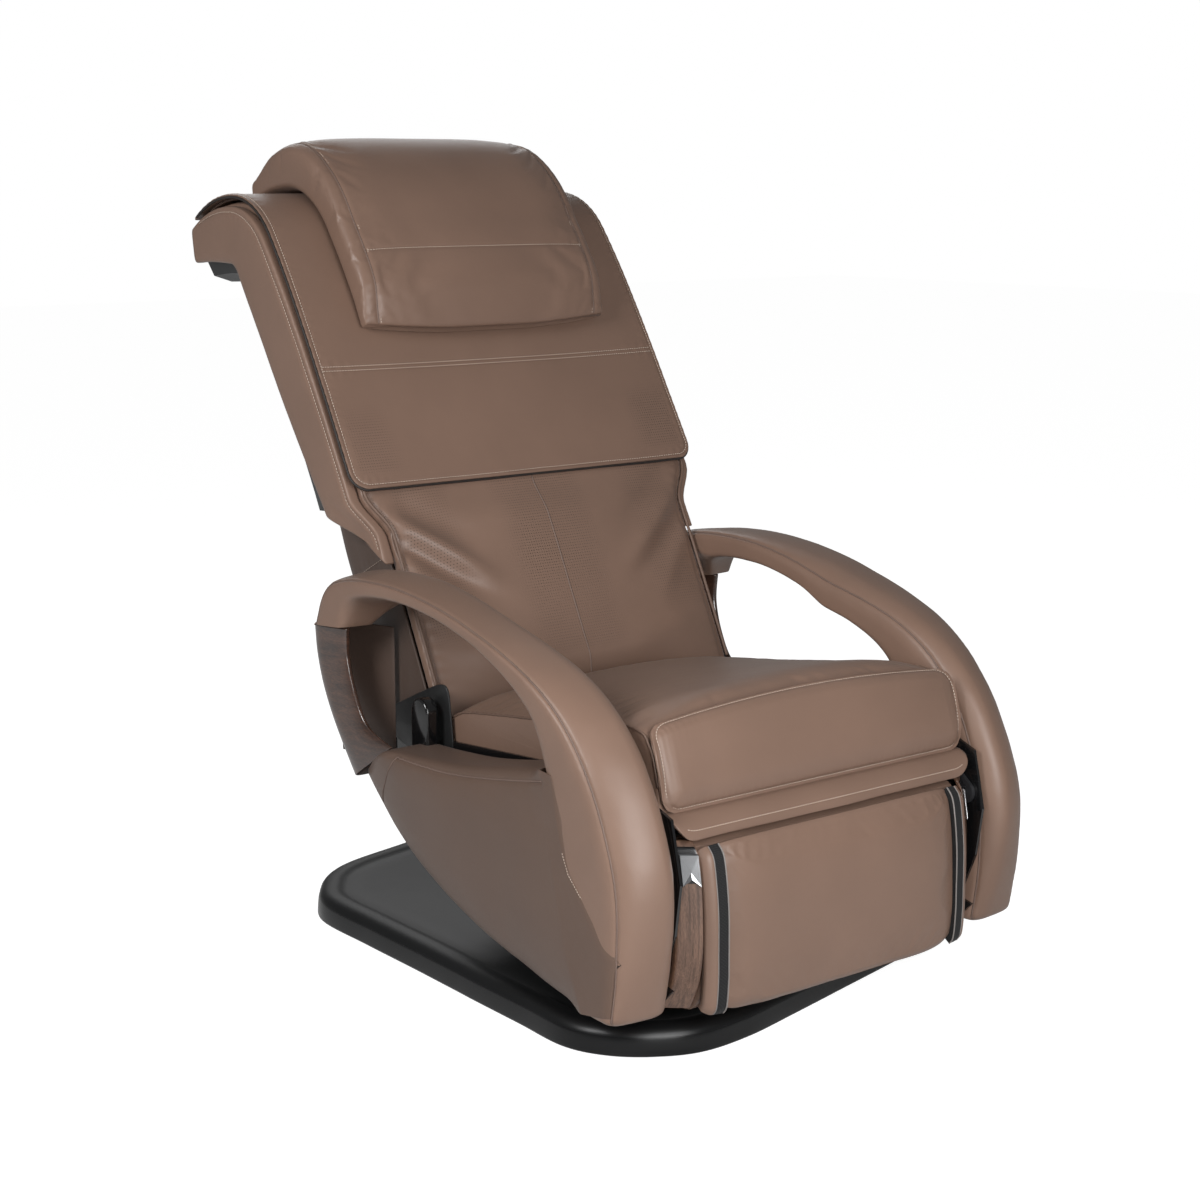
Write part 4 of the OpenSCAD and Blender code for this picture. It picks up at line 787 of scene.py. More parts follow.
def pad_half_w(s):
    """Half width of the front pad, drawn in at the waist to pass between the arms."""
    return lerp(HALF_WAIST, HALF_SHOULDER, smooth(238, 302, s))


# %% [markdown]
# ## Front pad of the back
# The pad is stretched leather over foam. In its lower part it shows: a seam runs
# down its middle and pulls it in, the two halves swell beside it, and where the
# pad narrows to a waist the leather is drawn into soft folds that run down and
# inwards. Pin holes let air through at both sides of the waist and beside the
# middle seam. The folds are long bells: a bell across each fold's line, fading
# towards its ends.

# %% Front pad
def fold(x, s, a, b, height, width):
    """A soft fold from a to b in the pad's plane: a bell across, faded at both ends."""
    a, b = np.array(a, float), np.array(b, float)
    d = b - a
    length = np.linalg.norm(d)
    d /= length
    t = ((x - a[0]) * d[0] + (s - a[1]) * d[1]) / length
    off = (x - a[0]) * d[1] - (s - a[1]) * d[0]
    return height * bump(off, 0, width) * smooth(-0.15, 0.25, t) * (1 - smooth(0.6, 1.15, t))


PAD_N = 168
ps = np.concatenate([np.linspace(-34, 330, 190), np.linspace(333, BACK_L - 4, 120)])
qa, qb = ring(PAD_N, 5)
S = np.broadcast_to(ps[:, None], (len(ps), PAD_N))
X = qa[None] * pad_half_w(S)
bare = smooth(-20, 30, S) * (1 - smooth(238, 300, S))
soft_line = 12.0 * bare * np.exp(-(X / 30) ** 2) + 5.0 * bare * np.exp(-(X / 6) ** 2)
crown = 13 * bare * (1 - qa[None] ** 2) - soft_line
for sx in (1, -1):
    k = 1.7 if sx < 0 else 1.2
    crown = crown + k * (fold(sx * X, S, (262, 262), (120, 150), 6.0, 17)
                         - fold(sx * X, S, (262, 232), (120, 122), 4.0, 15)
                         + fold(sx * X, S, (262, 205), (165, 95), 3.2, 16)
                         - fold(sx * X, S, (250, 292), (130, 212), 3.0, 20)
                         + fold(sx * X, S, (215, 60), (45, 18), 2.5, 20))
ends = np.where((ps < ps[0] + 0.1) | (ps > ps[-1] - 0.1), 0.7, 1)[:, None]
HALF_THICK = 14
N = (np.where(qb[None] > 0, crown * smooth(0.2, 0.8, qb)[None], 0)
     - (1 - qb[None] * ends) * HALF_THICK - 1.2 * smooth(655, 715, S))
N = np.where(qb[None] > 0, N - roll(S) * smooth(0, 0.6, qb)[None], N)
pad_grid = back(X, S, N)
front = (smooth(0.35, 0.85, qb)[None] * np.ones_like(S))[..., None]
lumps = (0.7 * noise(pad_grid, 120, 21) + 0.2 * noise(pad_grid, 30, 22))[..., None]
pad_grid += normals(pad_grid) * front * lumps * smooth(300, 240, S)[..., None]
edge_s = np.linspace(-10, BACK_L - 30, 500)
pad_left = back(pad_half_w(edge_s) - 7.5, edge_s, -2.5 - roll(edge_s))
for turn in (same, mirrored):
    pad_grid = press(pad_grid, turn(pad_left), 1.6, 4.0, 0.35, 17)
mid_rows, mid_col = np.linspace(12, 184, 160), np.full(160, PAD_N / 4 - 0.5)
pad_grid = press(pad_grid, on(pad_grid, mid_rows, mid_col), 2.0, 3.0, 0.3, 19)
lay_welt("back_centre_welt", on(pad_grid, mid_rows, mid_col), 1.1, "backrest")
pierced = np.clip(
    smooth(140, 185, abs(X)) * (1 - smooth(235, 250, abs(X))) * smooth(60, 110, S)
    + smooth(10, 16, abs(X)) * (1 - smooth(62, 88, abs(X))) * smooth(25, 45, S), 0, 1)
pierced *= (qb[None] > 0.4)
pad = finish(loft("back_pad_cover", pad_grid, hide_pierced, uv=np.stack([X, S], -1)),
             "backrest", "leather", "back_pad", fill=0.7)
pierce(pad, pierced)
rim = back(pad_half_w(edge_s) - 1.2, edge_s, -1.0 - roll(edge_s))
edge_seam = back(pad_half_w(edge_s) - 7.5, edge_s, -roll(edge_s))
for side_name, turn in SIDES:
    finish(tube(f"back_piping_{side_name}", turn(rim), 2.3, welt), "backrest", "leather")
    sew(f"back_stitch_{side_name}", pad_grid, turn(edge_seam), 0.1, thread_dark,
        (5.0, 3.2, 0.42), "backrest")
print("front pad", pad_grid.shape)

# %% [markdown]
# ## Sides of the back
# Beside the front pad a separate strip of leather wraps round to the hard rear
# shell. It is deepest at the shoulders and follows the rolled top. It has its own
# seam, a finger's width behind the piping, so the edge reads as two fine parallel
# lines.

# %% Back sides
def side_depth(s):
    """Depth of the side strips along the back."""
    return curve([66, 84, 98, 107, 109, 104, 95, 88], (s - 200) / (BACK_L - 200))


STRIP_N = 84
bu = np.linspace(0, 1, 220)
sa, sb = ring(STRIP_N, 5)
v = (1 - sa[None]) / 2
n0 = -lerp(12, 95, v)
start = 200 - 1.28 * (n0 + 12)
bs = lerp(start, BACK_L - 1, bu[:, None])
bn = -lerp(12, side_depth(bs), v) - roll(bs) * (1 - v)
bx = pad_half_w(bs) + 0.5 + 20.6 * (sb[None] + 1) / 2
side_grid = back(bx, bs, bn)
lumps = 0.5 * noise(side_grid, 130, 31) + 0.15 * noise(side_grid, 30, 32)
side_grid[..., 0] += smooth(0, 1, sb)[None] * lumps - 0.4
side_seam = on(side_grid, np.linspace(4, 212, 400), np.full(400, STRIP_N / 8 + 1.7))
side_grid = press(side_grid, side_seam, 1.3, 3.0, 0.15)
for side_name, turn in SIDES:
    finish(loft(f"back_side_cover_{side_name}", turn(side_grid), hide), "backrest", "leather",
           f"back_side_{side_name}", fill=0.8)
    sew(f"back_side_stitch_{side_name}", side_grid, side_seam, -0.2, thread, (4.8, 3.3, 0.55),
        "backrest", turn=turn)
print("side strip", side_grid.shape)

# %% [markdown]
# ## Leather sheet over the upper back
# From the lumbar up, a loose double sheet of leather lies over the pad and hangs
# over the rolled top. It is thin and heavy, so it takes the pad's shape and only
# ripples a little at its lower hem. Its lower corners are rounded, a line of
# stitches runs round its edge, and a double line crosses it below the pillow. A
# black cord round its edge stands for the sheet's dark underside and paints the
# shadow line under its loose edge.

# %% Leather sheet
FLAP_LOW, FLAP_HIGH = 306.0, BACK_L + 2
FLAP_HALF, FLAP_ROUND = 306.0, 26.0


def flap_half_w(s):
    """Half width of the sheet: rounded at its lower corners, slightly narrower above."""
    e = np.clip(1 - (s - FLAP_LOW) / FLAP_ROUND, 0, 1)
    u = (s - FLAP_LOW) / (FLAP_HIGH - FLAP_LOW)
    return FLAP_HALF - 6 * u - FLAP_ROUND * (1 - np.sqrt(1 - 0.985 * e * e))


def flap_rise(x, s):
    """Ripples of the hem and a slow wave over the sheet, gone under the pillow."""
    near = np.exp(-(s - FLAP_LOW) / 70)
    wave = (near * (1.1 + 1.3 * np.sin(x / 47 + 0.6) + 0.8 * np.sin(x / 23 + 2.0))
            + 0.5 * np.sin(x / 85 + s / 60) + 0.35 * np.sin(s / 37 - x / 160))
    return np.maximum(wave, 0) * (1 - smooth(520, 560, s)) * 0.9


fu = np.concatenate([np.linspace(0, 0.06, 40) ** 2 / 0.06, np.linspace(0.062, 1, 240)])
fs = FLAP_LOW + (FLAP_HIGH - FLAP_LOW) * fu
fa, fb = ring(220, 16)
FS = np.broadcast_to(fs[:, None], (len(fs), 220))
FX = fa[None] * flap_half_w(FS)
FN = 0.6 + 5.2 * (fb[None] + 1) / 2 + flap_rise(FX, FS) - roll(FS)
flap_grid = back(FX, FS, FN)
hem_s = np.linspace(FLAP_LOW + FLAP_ROUND, FLAP_HIGH - 8, 500)
corner_a = np.linspace(0, np.pi / 2, 40)


def hem_line(inset, height):
    """Line along the sheet's edge, taken in by an inset: down a side, across, up the other."""
    up = np.stack([flap_half_w(hem_s) - inset, hem_s], 1)
    r = FLAP_ROUND - inset * 0.7
    arc = np.stack([flap_half_w(hem_s[0]) - inset - r + r * np.cos(corner_a),
                    hem_s[0] + (inset - FLAP_ROUND) * np.sin(corner_a)], 1)
    across = np.stack([np.linspace(arc[-1, 0], -arc[-1, 0], 220),
                       np.full(220, FLAP_LOW + inset)], 1)
    left = np.concatenate([up[::-1], arc])
    x, s = np.concatenate([left, across[1:-1], (left * [-1, 1])[::-1]]).T
    return back(x, s, height + flap_rise(x, s) - roll(s))


hem = hem_line(5.5, 6.2)
flap_grid = press(flap_grid, hem, 1.0, 2.6, 0.25, 15)
cross = []
for s0 in (484.0, 490.5):
    cx = np.linspace(-298, 298, 300)
    cs = s0 + 3.0 * (cx / 298) ** 2
    cross.append(back(cx, cs, 6.0 + flap_rise(cx, cs)))
for seam in cross:
    flap_grid = press(flap_grid, seam, 0.8, 2.6, 0.18, 19)
flap_uv = np.stack([FX, FS], -1)
sheet = finish(loft("back_sheet", flap_grid, hide_pierced, uv=flap_uv), "backrest", "leather",
               "back_flap")
pierce(sheet, (smooth(205, 240, abs(FX)) * (1 - smooth(284, 292, abs(FX)))
               * smooth(322, 340, FS) * (1 - smooth(395, 440, FS))) * (fb[None] > 0))
sheet_stitches = [
    sew(name, flap_grid, seam, 0.15, thread, (4.4, 3.1, 0.6), "backrest")
    for name, seam in (("back_sheet_hem", hem), ("back_sheet_cross_low", cross[0]),
                       ("back_sheet_cross_high", cross[1]))]
# Black cord round the sheet: the dark underside, and a painted shadow line under the loose edge.
finish(tube("back_sheet_shadow_cord", hem_line(-0.7, 1.2), 2.0, black_shadow_cord), "backrest", "leather_dark")
print("sheet", flap_grid.shape)

# %% [markdown]
# ## Head pillow
# The pillow hooks over the rolled top like the head of a cane. Its front and its
# sides are separate pieces of leather, joined in a stitched seam along each edge,
# and one more seam crosses the front. We shape the section along the back's line,
# let air in between the seams, and only then press the seams in.

# %% Head pillow
PILLOW_LOW, PILLOW_HIGH, PILLOW_T = 545.0, BACK_L - 28, 83.0
pill_u = np.concatenate([[0, 0.004, 0.012], np.linspace(0.022, 0.985, 130),
                         [0.992, 0.997, 1.0]])
pill_end = np.ones(len(pill_u))
pill_end[:3], pill_end[-3:] = [0.5, 0.8, 0.94], [0.94, 0.8, 0.5]
PILLOW_N = 132
pill_a, pill_b = ring(PILLOW_N, 7)
PS = lerp(PILLOW_LOW, PILLOW_HIGH, pill_u)[:, None]
PT = PILLOW_T * curve([0.3, 0.62, 0.68, 0.7, 0.83, 1, 0.82, 0.36], pill_u)[:, None]
PX = 216 * pill_a[None] * (1 - 0.012 * (1 - pill_end[:, None]))
PB = (1 + pill_b[None] * pill_end[:, None]) / 2
bow = (15.0 * (1 - pill_a[None] ** 2) - 3) * np.exp(-pill_u[:, None] / 0.10)
PN = 7.0 + (PT - 1) * PB * (1 - 0.10 * pill_a[None] ** 4) - roll(PS) * (1 - PB)
pillow_grid = back(PX, PS - bow, PN)
held = np.zeros(pillow_grid.shape[:2], bool)
front_l, front_r, rear_r, rear_l = (k * PILLOW_N / 8 - 0.5 for k in (1, 3, 5, 7))
for col in (front_l, front_r, rear_l, rear_r):
    held[:, int(round(col)) % PILLOW_N] = True
held[:, pill_b < -0.2] = True
seam_row = int(np.argmin(abs(lerp(PILLOW_LOW, PILLOW_HIGH, pill_u) - 648)))
held[seam_row, pill_b > 0.5] = True
held[:2] = held[-2:] = True
pillow_grid = inflate(pillow_grid, held, 3.0, 4.5, 12, 0.004)
rows = np.linspace(1, len(pill_u) - 2, 360)
pillow_seams = [on(pillow_grid, rows, np.full(360, c)) for c in (front_l, front_r)]
cols = np.linspace(front_l + 0.5, front_r - 0.5, 260)
pillow_seams.append(on(pillow_grid, np.full(260, float(seam_row)), cols))
for seam in pillow_seams:
    pillow_grid = press(pillow_grid, seam, 1.3, 3.0, 0.25, 16)
lumps = 0.35 * noise(pillow_grid, 110, 41) + 0.12 * noise(pillow_grid, 28, 42)
pillow_grid += normals(pillow_grid) * lumps[..., None]
finish(loft("pillow_cover", pillow_grid, hide), "head_pillow", "leather", "head_pillow",
       fill=0.7)
for k, seam in enumerate(pillow_seams):
    if k < 2:
        lay_welt(f"pillow_welt_{k}", lift(pillow_grid, seam, -0.9)[0], 1.0, "head_pillow")
        seam = seam - np.array([4.2 * np.sign(seam[:, 0].mean()), 0, 0])
    sew(f"pillow_stitch_{k}", pillow_grid, seam, 0.1, thread, (4.4, 3.1, 0.6), "head_pillow")
print("pillow", pillow_grid.shape)

# %% [markdown]
# ## Seat cushion
# The seat is a crowned block of foam, higher at the front, with a welt round the
# top of each side. Its side view is a closed line through sixteen places, and
# that line is carried across the seat while the crown rises towards the middle.
# Small extra rows close the two side faces, so that they bulge a little instead
# of ending in a flat plate.

# %% Seat cushion
SEAT_FRONT, SEAT_REAR, SEAT_W = 440.0, 36.0, 262.0
SEAT_LOW, SEAT_RH, SEAT_FH = 302.0, 364.0, 427.0
profile = np.array([
    [SEAT_REAR - 3, SEAT_LOW + 4], [SEAT_REAR, SEAT_LOW + 26], [SEAT_REAR - 6, SEAT_RH - 12],
    [SEAT_REAR - 26, SEAT_RH + 1], [-60, lerp(SEAT_RH, SEAT_FH, 0.2)],
    [-160, lerp(SEAT_RH, SEAT_FH, 0.42)], [-260, lerp(SEAT_RH, SEAT_FH, 0.68)],
    [-345, lerp(SEAT_RH, SEAT_FH, 0.9)], [-SEAT_FRONT + 48, SEAT_FH - 10],
    [-SEAT_FRONT + 32, SEAT_FH - 34], [-SEAT_FRONT + 22, SEAT_FH - 70],
    [-SEAT_FRONT + 18, SEAT_LOW + 16], [-SEAT_FRONT + 22, SEAT_LOW + 0.6],
    [-300, SEAT_LOW + 0.6], [-100, SEAT_LOW + 0.6], [SEAT_REAR - 16, SEAT_LOW + 0.6]])
loop = np.concatenate([profile, profile[:1]])
fine = np.concatenate([lerp(loop[k], loop[k + 1], np.arange(24)[:, None] / 24)
                       for k in range(len(profile))])
for _ in range(40):
    fine = (np.roll(fine, 1, 0) + 2 * fine + np.roll(fine, -1, 0)) / 4
s_loop = along(np.concatenate([fine, fine[:1]]))
at_s = np.linspace(0, s_loop[-1], 221)[:-1]
fine = np.stack([np.interp(at_s, s_loop, np.append(fine[:, k], fine[0, k])) for k in (0, 1)], 1)
seat_t = -np.cos(np.linspace(0, np.pi, 120))
rows_in = np.array([0.15, 0.5, 0.78, 0.92, 0.975])
mid_z = (SEAT_LOW + SEAT_RH) / 2
edge = abs(seat_t) ** 9
crown = 16 * (1 - seat_t ** 2)
top = smooth(mid_z, SEAT_RH, fine[:, 1])[None]
SY = fine[None, :, 0] + edge[:, None] * np.where(fine[None, :, 0] > 0, -4, 3)
SZ = np.where(fine[None, :, 1] > mid_z, fine[None, :, 1] + crown[:, None] * top
              - 7 * edge[:, None] * top, fine[None, :, 1])
seat_grid = np.stack([np.broadcast_to(-seat_t[:, None] * (SEAT_W - 0.6), SY.shape), SY, SZ], -1)


def end_rows(end, bulge):
    """Rows that shrink from an end towards its middle, bulging outwards."""
    mid, k = end.mean(0), rows_in[:, None, None]
    return mid + (end - mid) * k + np.sign(end[0, 0]) * bulge * (1 - k ** 2) * [1, 0, 0]


seat_grid = np.concatenate([end_rows(seat_grid[0], 1.2), seat_grid,
                            end_rows(seat_grid[-1], 1.2)[::-1]])
rows_n = len(rows_in)
is_top = fine[:, 1] > SEAT_RH - 14
held = np.zeros(seat_grid.shape[:2], bool)
held[:, ~is_top] = True
held[:rows_n + 2] = held[-rows_n - 2:] = True
seat_grid = inflate(seat_grid, held, 4.0, 6.0, 14, 0.006)
seat_x, seat_y = seat_grid[..., 0], seat_grid[..., 1]
creases = (2.2 * bump(seat_y, 8, 16) * np.sin(seat_x / 38 + 0.7)
           * (1 - smooth(180, 240, abs(seat_x)))
           + 1.2 * bump(seat_y, -30, 26) * np.sin(seat_x / 55)) * is_top[None]
seat_grid[..., 2] += creases * 0.5
lumps = 0.6 * noise(seat_grid, 140, 51) + 0.2 * noise(seat_grid, 35, 52)
seat_grid += normals(seat_grid) * (is_top[None] * lumps)[..., None]
cols = np.arange(len(fine))[is_top]
for side_name, row in (("left", rows_n + 3), ("right", len(seat_grid) - rows_n - 4)):
    seam = on(seat_grid, np.full(300, float(row)), np.linspace(cols[0] - 6, cols[-1], 300))
    seat_grid = press(seat_grid, seam, 1.0, 2.4, 0.1)
    finish(tube(f"seat_piping_{side_name}", lift(seat_grid, seam, 0.2)[0], 1.7, welt), "seat",
           "leather")
finish(loft("seat_cover", seat_grid, hide), "seat", "leather", "seat_cushion", fill=0.8)
print("seat", seat_grid.shape)

# %% [markdown]
# ## Flap and lip at the seat's front
# A padded flap is folded down over the front edge of the seat. Its border is
# stitched flat with pale thread, and the foam swells inside the border. We work
# in the flap's own plane, with x across and t down its length: the thickness is a
# smooth step of the distance to the rounded border. Under it hangs a thin folded
# lip of leather that waves a little, because nothing stretches it.

# %% Flap
flap_path = np.array([[-SEAT_FRONT + 47.7, SEAT_FH - 9.8], [-SEAT_FRONT + 31.6, SEAT_FH - 33.8],
                      [-SEAT_FRONT + 21.6, SEAT_FH - 69.9], [-SEAT_FRONT + 17.6, SEAT_LOW + 12]])
FLAP_W, FLAP_R = 263.0, 26.0
FLAP_L = float(along(curve(flap_path, np.linspace(0, 1, 200)))[-1])


def flap_border(x):
    """How much the rounded corners take off the flap's length at each end."""
    e = np.clip(abs(x) - (FLAP_W - FLAP_R), 0, FLAP_R)
    return FLAP_R - np.sqrt(np.maximum(FLAP_R ** 2 - e ** 2, 0.4))


def front_flap(x, t, h):
    """Place on the flap: t from its top to its hem in mm, h off the seat."""
    u = t / FLAP_L
    c = curve(flap_path, u)
    d = unit(curve(flap_path, u + 0.02) - curve(flap_path, u - 0.02))
    crown = 16 * (1 - (x / FLAP_W) ** 2) * smooth(mid_z, SEAT_RH, c[..., 1])
    return np.stack([x + 0 * t, c[..., 0] + d[..., 1] * h,
                     c[..., 1] - d[..., 0] * h + crown], -1)


ga, gb = ring(150, 12)
GX = np.broadcast_to(FLAP_W * np.cos(np.linspace(0, np.pi, 170))[:, None], (170, 150))
cut = flap_border(GX)
GT = lerp(cut, FLAP_L - cut, (1 - gb[None]) / 2)
from_edge = np.minimum(FLAP_L - cut - GT, FLAP_W - abs(GX))
swell = 4.0 + 14.5 * (1 - (1 - np.clip((from_edge - 4) / 58, 0, 1)) ** 2.4) \
    * (1 - (1 - np.clip((GT - cut - 3) / 105, 0, 1)) ** 2)
folds = (1.0 * np.sin(GX / 13 + 1.0) * bump(GT, FLAP_L - 12, 13) * smooth(150, 245, -GX)
         + 0.8 * np.sin(GT / 9) * bump(abs(GX), FLAP_W - 14, 12))
GH = 0.4 + (ga[None] + 1) / 2 * (swell + folds * 0.8)
front_grid = front_flap(GX, GT, GH)
front_grid += normals(front_grid) * ((ga[None] > 0) * 0.5 * noise(front_grid, 90, 61))[..., None]


def border_line(inset, h):
    """Closed border of the flap, taken in by an inset, at height h."""
    w, r = FLAP_W - inset, FLAP_R - inset * 0.5
    a = np.linspace(0, np.pi / 2, 30)
    arc = np.stack([w - r + r * np.sin(a), inset + r - r * np.cos(a)], 1)
    topline = np.stack([np.linspace(0, w - r, 120), np.full(120, inset)], 1)
    edge = np.stack([np.full(40, w), np.linspace(inset + r, FLAP_L - inset - r, 40)], 1)
    right = np.concatenate([topline, arc[1:], edge[1:], (arc * [1, -1] + [0, FLAP_L])[::-1][1:],
                            (topline * [1, -1] + [0, FLAP_L])[::-1][1:]])
    both = np.concatenate([right, (right * [-1, 1])[::-1][1:]])
    return front_flap(both[:, 0], both[:, 1], h)


border = border_line(6.0, 4.7)
front_grid = press(front_grid, border, 1.3, 3.0, 0.3, 11)
finish(loft("seat_flap_cover", front_grid, hide), "seat", "leather", "seat_flap", fill=0.7)
sew("seat_flap_stitch", front_grid, border, 0.15, thread, (4.3, 3.1, 0.62), "seat")
print("flap", round(FLAP_L), "mm long")

# %% [markdown]
# ## Folded lip
# The lip is a thin double fold. Its side view is a short curve from under the flap
# to its hem, its ends are rounded, and two slow waves grow towards the hem.

# %% Folded lip
lx = np.linspace(-1, 1, 190)
la, lb = ring(72, 6)
round_end = np.sqrt(np.maximum(1 - np.clip((abs(lx) - 0.87) / 0.13, 0, 1) ** 2, 0.02))
lip_path = np.array([[-420, 314], [-431, 312], [-441, 305], [-447, 295], [-448.5, 283]])
LX = np.broadcast_to(lx[:, None] * 258, (190, 72))
down = (lb[None] + 1) / 2 * (0.35 + 0.65 * round_end[:, None])
lip_yz = curve(lip_path, down)
lip_dir = unit(curve(lip_path, np.clip(down + 0.02, 0, 1))
               - curve(lip_path, np.clip(down - 0.02, 0, 1)))
wave = (2.4 * np.sin(LX / 52 + 1.7) + 1.0 * np.sin(LX / 21 + 0.4)) * down ** 1.5
lip_off = la[None] * lerp(3.0, 4.4, down) / 2 + wave * 0.6
lip = np.stack([LX, lip_yz[..., 0] + lip_dir[..., 1] * lip_off,
                lip_yz[..., 1] - lip_dir[..., 0] * lip_off], -1)
finish(loft("seat_lip_cover", lip, hide), "seat", "leather", "seat_lip", fill=0.3)
hem_col = float(np.argmin(abs(lb - 0.55) + 10 * (la < 0)))
lip_line = on(lip, np.linspace(6, 183, 300), np.full(300, hem_col))
sew("seat_lip_stitch", lip, lip_line, 0.15, thread, (4.3, 3.1, 0.62), "seat")
print("lip", lip.shape)

# %% [markdown]
# ## Lower housing
# Below the hard shell the moving back is closed by a soft-faced housing that can
# be seen through the arm loops. It is a tub: its outer wall follows the back's
# line, and its section is a wide U with rounded corners. A seam runs round it
# where the two hides meet.

# %% Lower housing
def tub_depth(s):
    """Depth of the tub behind the back's line."""
    shoulder = smooth(BACK_L - 300, BACK_L - 60, s)
    return lerp(158.0, 152.0, smooth(238, 362, s)) + 2 - 32 * shoulder


TUB_DEEP, TUB_STRAIGHT = 160.0, 62.0
hs = np.linspace(9, 331, 90)
u_out = np.array([[1, -30], [1, -62], [1, -100], [0.985, -0.86 * TUB_DEEP],
                  [0.9, -0.965 * TUB_DEEP], [0.6, -0.995 * TUB_DEEP], [0, -TUB_DEEP]])
half = curve(u_out, np.linspace(0, 1, 90))
run = np.concatenate([half, (half[:-1] * [-1, 1])[::-1]])
wall = len(run)
stretch = (tub_depth(hs)[:, None] - TUB_STRAIGHT) / (TUB_DEEP - TUB_STRAIGHT)
HN = np.where(run[None, :, 1] < -TUB_STRAIGHT,
              -TUB_STRAIGHT + (run[None, :, 1] + TUB_STRAIGHT) * stretch, run[None, :, 1])
HX = np.broadcast_to(run[None, :, 0] * 260.0, HN.shape)
HS = np.broadcast_to(hs[:, None], HN.shape)
house = back(HX, HS, HN)
inner = back(HX * 0.984, HS, np.where(HN < -32, HN + 3.6, HN))
house_grid = np.concatenate([house, inner[:, ::-1]], 1)
house_grid[:, :wall] += normals(house_grid)[:, :wall] * 0.6 * noise(house, 110, 71)[..., None]
house_seam = on(house_grid, np.full(400, 58.0), np.linspace(2, wall - 3, 400))
house_grid = press(house_grid, house_seam, 1.2, 3.0, 0.15)
house_rows, house_cols = house_grid.shape[:2]
tub_ends = []
for row in (0, house_rows - 1):
    for j in range(wall - 1):
        face = [row * house_cols + k for k in (j, j + 1, house_cols - 2 - j, house_cols - 1 - j)]
        tub_ends.append(face if row else face[::-1])
# The housing's dark leather is partly painted shade for the hollow under the back.
finish(loft("lower_housing_cover", house_grid, hide_dark_shaded, ends=tub_ends), "backrest",
       "leather_dark", "lower_housing", fill=0.4)
sew("lower_housing_stitch", house_grid, house_seam, 0.1, thread, (5.0, 3.2, 0.42), "backrest",
    "leather_dark")
print("lower housing", house_grid.shape)

# %% [markdown]
# ## Calf rest
# The body of the calf rest is an upholstered board that turns over on two pins:
# one face is the smooth pad, the other has two wells for the calves. The pad's
# leather is drawn over the front and tucked under the lower edge, where it
# gathers in a few short folds. At each side of the pad a narrow strip of black
# stretch cloth lets the pad move, and beside it a band of leather covers the
# board's edge.

# %% Calf pad
OC = np.array([-413.0, 170.0])
pad_out = np.array([[-46, 108], [-57, 95], [-63, 68], [-68, 24], [-69, -30], [-69, -62],
                    [-66, -96], [-59, -108]], float)
pad_in = np.array([[-32, 101], [-37, 84], [-41, 66], [-46, 26], [-50.8, -28], [-51.2, -58],
                   [-47, -84], [-44, -92]], float)
ct = -np.cos(np.linspace(0, np.pi, 150))
cu = np.linspace(0, 1, 96)
outer_run, inner_run = curve(pad_out, cu), curve(pad_in, cu)
CT, CU = np.broadcast_arrays(ct[:, None], cu[None])
round_off = abs(CT) ** 10
out_p = lerp(inner_run[None], outer_run[None], (1 - 0.42 * round_off)[..., None])
out_p = out_p * (1 - 0.015 * round_off)[..., None]
in_p = np.broadcast_to(inner_run[None], out_p.shape)
tuck = (1.6 * bump(CU, 0.97, 0.10) * (np.sin(CT * 205 / 11 + 0.5) * smooth(-0.35, -0.8, CT)
                                      + 0.35 * np.sin(CT * 205 / 17)))
sag = 1.2 * bump(CU, 0.55, 0.3) * np.sin(CT * 2.2 + 0.4)
fold_line = 1.4 * bump(CU - 0.12 * (CT + 0.7), 0.86, 0.05) * smooth(-0.2, -0.8, CT)
out_p[..., 0] -= tuck + sag * 0.5 + fold_line
ring_p = np.concatenate([out_p, in_p[:, ::-1]], 1)
ring_x = np.broadcast_to(ct[:, None] * 201.5, ring_p.shape[:2])
calf = np.concatenate([ring_x[..., None], ring_p + OC + [-0.3, 0]], -1)
calf_held = np.ones(calf.shape[:2], bool)
calf_held[6:-6, 6:84] = False
calf = inflate(calf, calf_held, 3.0, 2.5, 10, 0.002)
lumps = (0.35 * noise(calf, 120, 81) + 0.1 * noise(calf, 26, 82)) * (np.arange(192) < 96)
calf += normals(calf) * lumps[..., None]
finish(loft("calf_pad_cover", calf, hide), "ottoman", "leather", "ottoman_pad", fill=0.7)
print("calf pad", calf.shape)

# %% [markdown]
# ## Gussets and bands
# Beside the pad two strips follow the pad's own side-view line, each moved off it by
# a height. A cord of pale piping lies on each side of the gusset.

# %% Gussets and bands
def calf_face(u, h):
    """The pad's side-view line moved outwards by each of the heights h."""
    p = curve(pad_out, u)
    d = unit(np.gradient(p, axis=0))
    out = np.stack([d[:, 1], -d[:, 0]], 1)
    return p[:, None] + out[:, None] * h[None, :, None] + OC


def calf_band(name, x0, x1, proud0, proud1, material, slot_name, bulge):
    """Strip beside the pad: it follows the pad's line, crowned across its width."""
    w = np.linspace(-1, 1, 18)
    u = np.linspace(0, 1, 120)
    face = calf_face(u, lerp(proud0, proud1, (w + 1) / 2) + bulge * (1 - w ** 2))
    deep = calf_face(u, np.full(18, min(proud0, proud1) - 9.0))
    x = np.broadcast_to(lerp(x0, x1, (w + 1) / 2)[None, :, None], (120, 18, 1))
    grid = np.concatenate([np.concatenate([x, face], -1),
                           np.concatenate([x, deep], -1)[:, ::-1]], 1)
    return finish(loft(name, grid, material), "ottoman", slot_name)


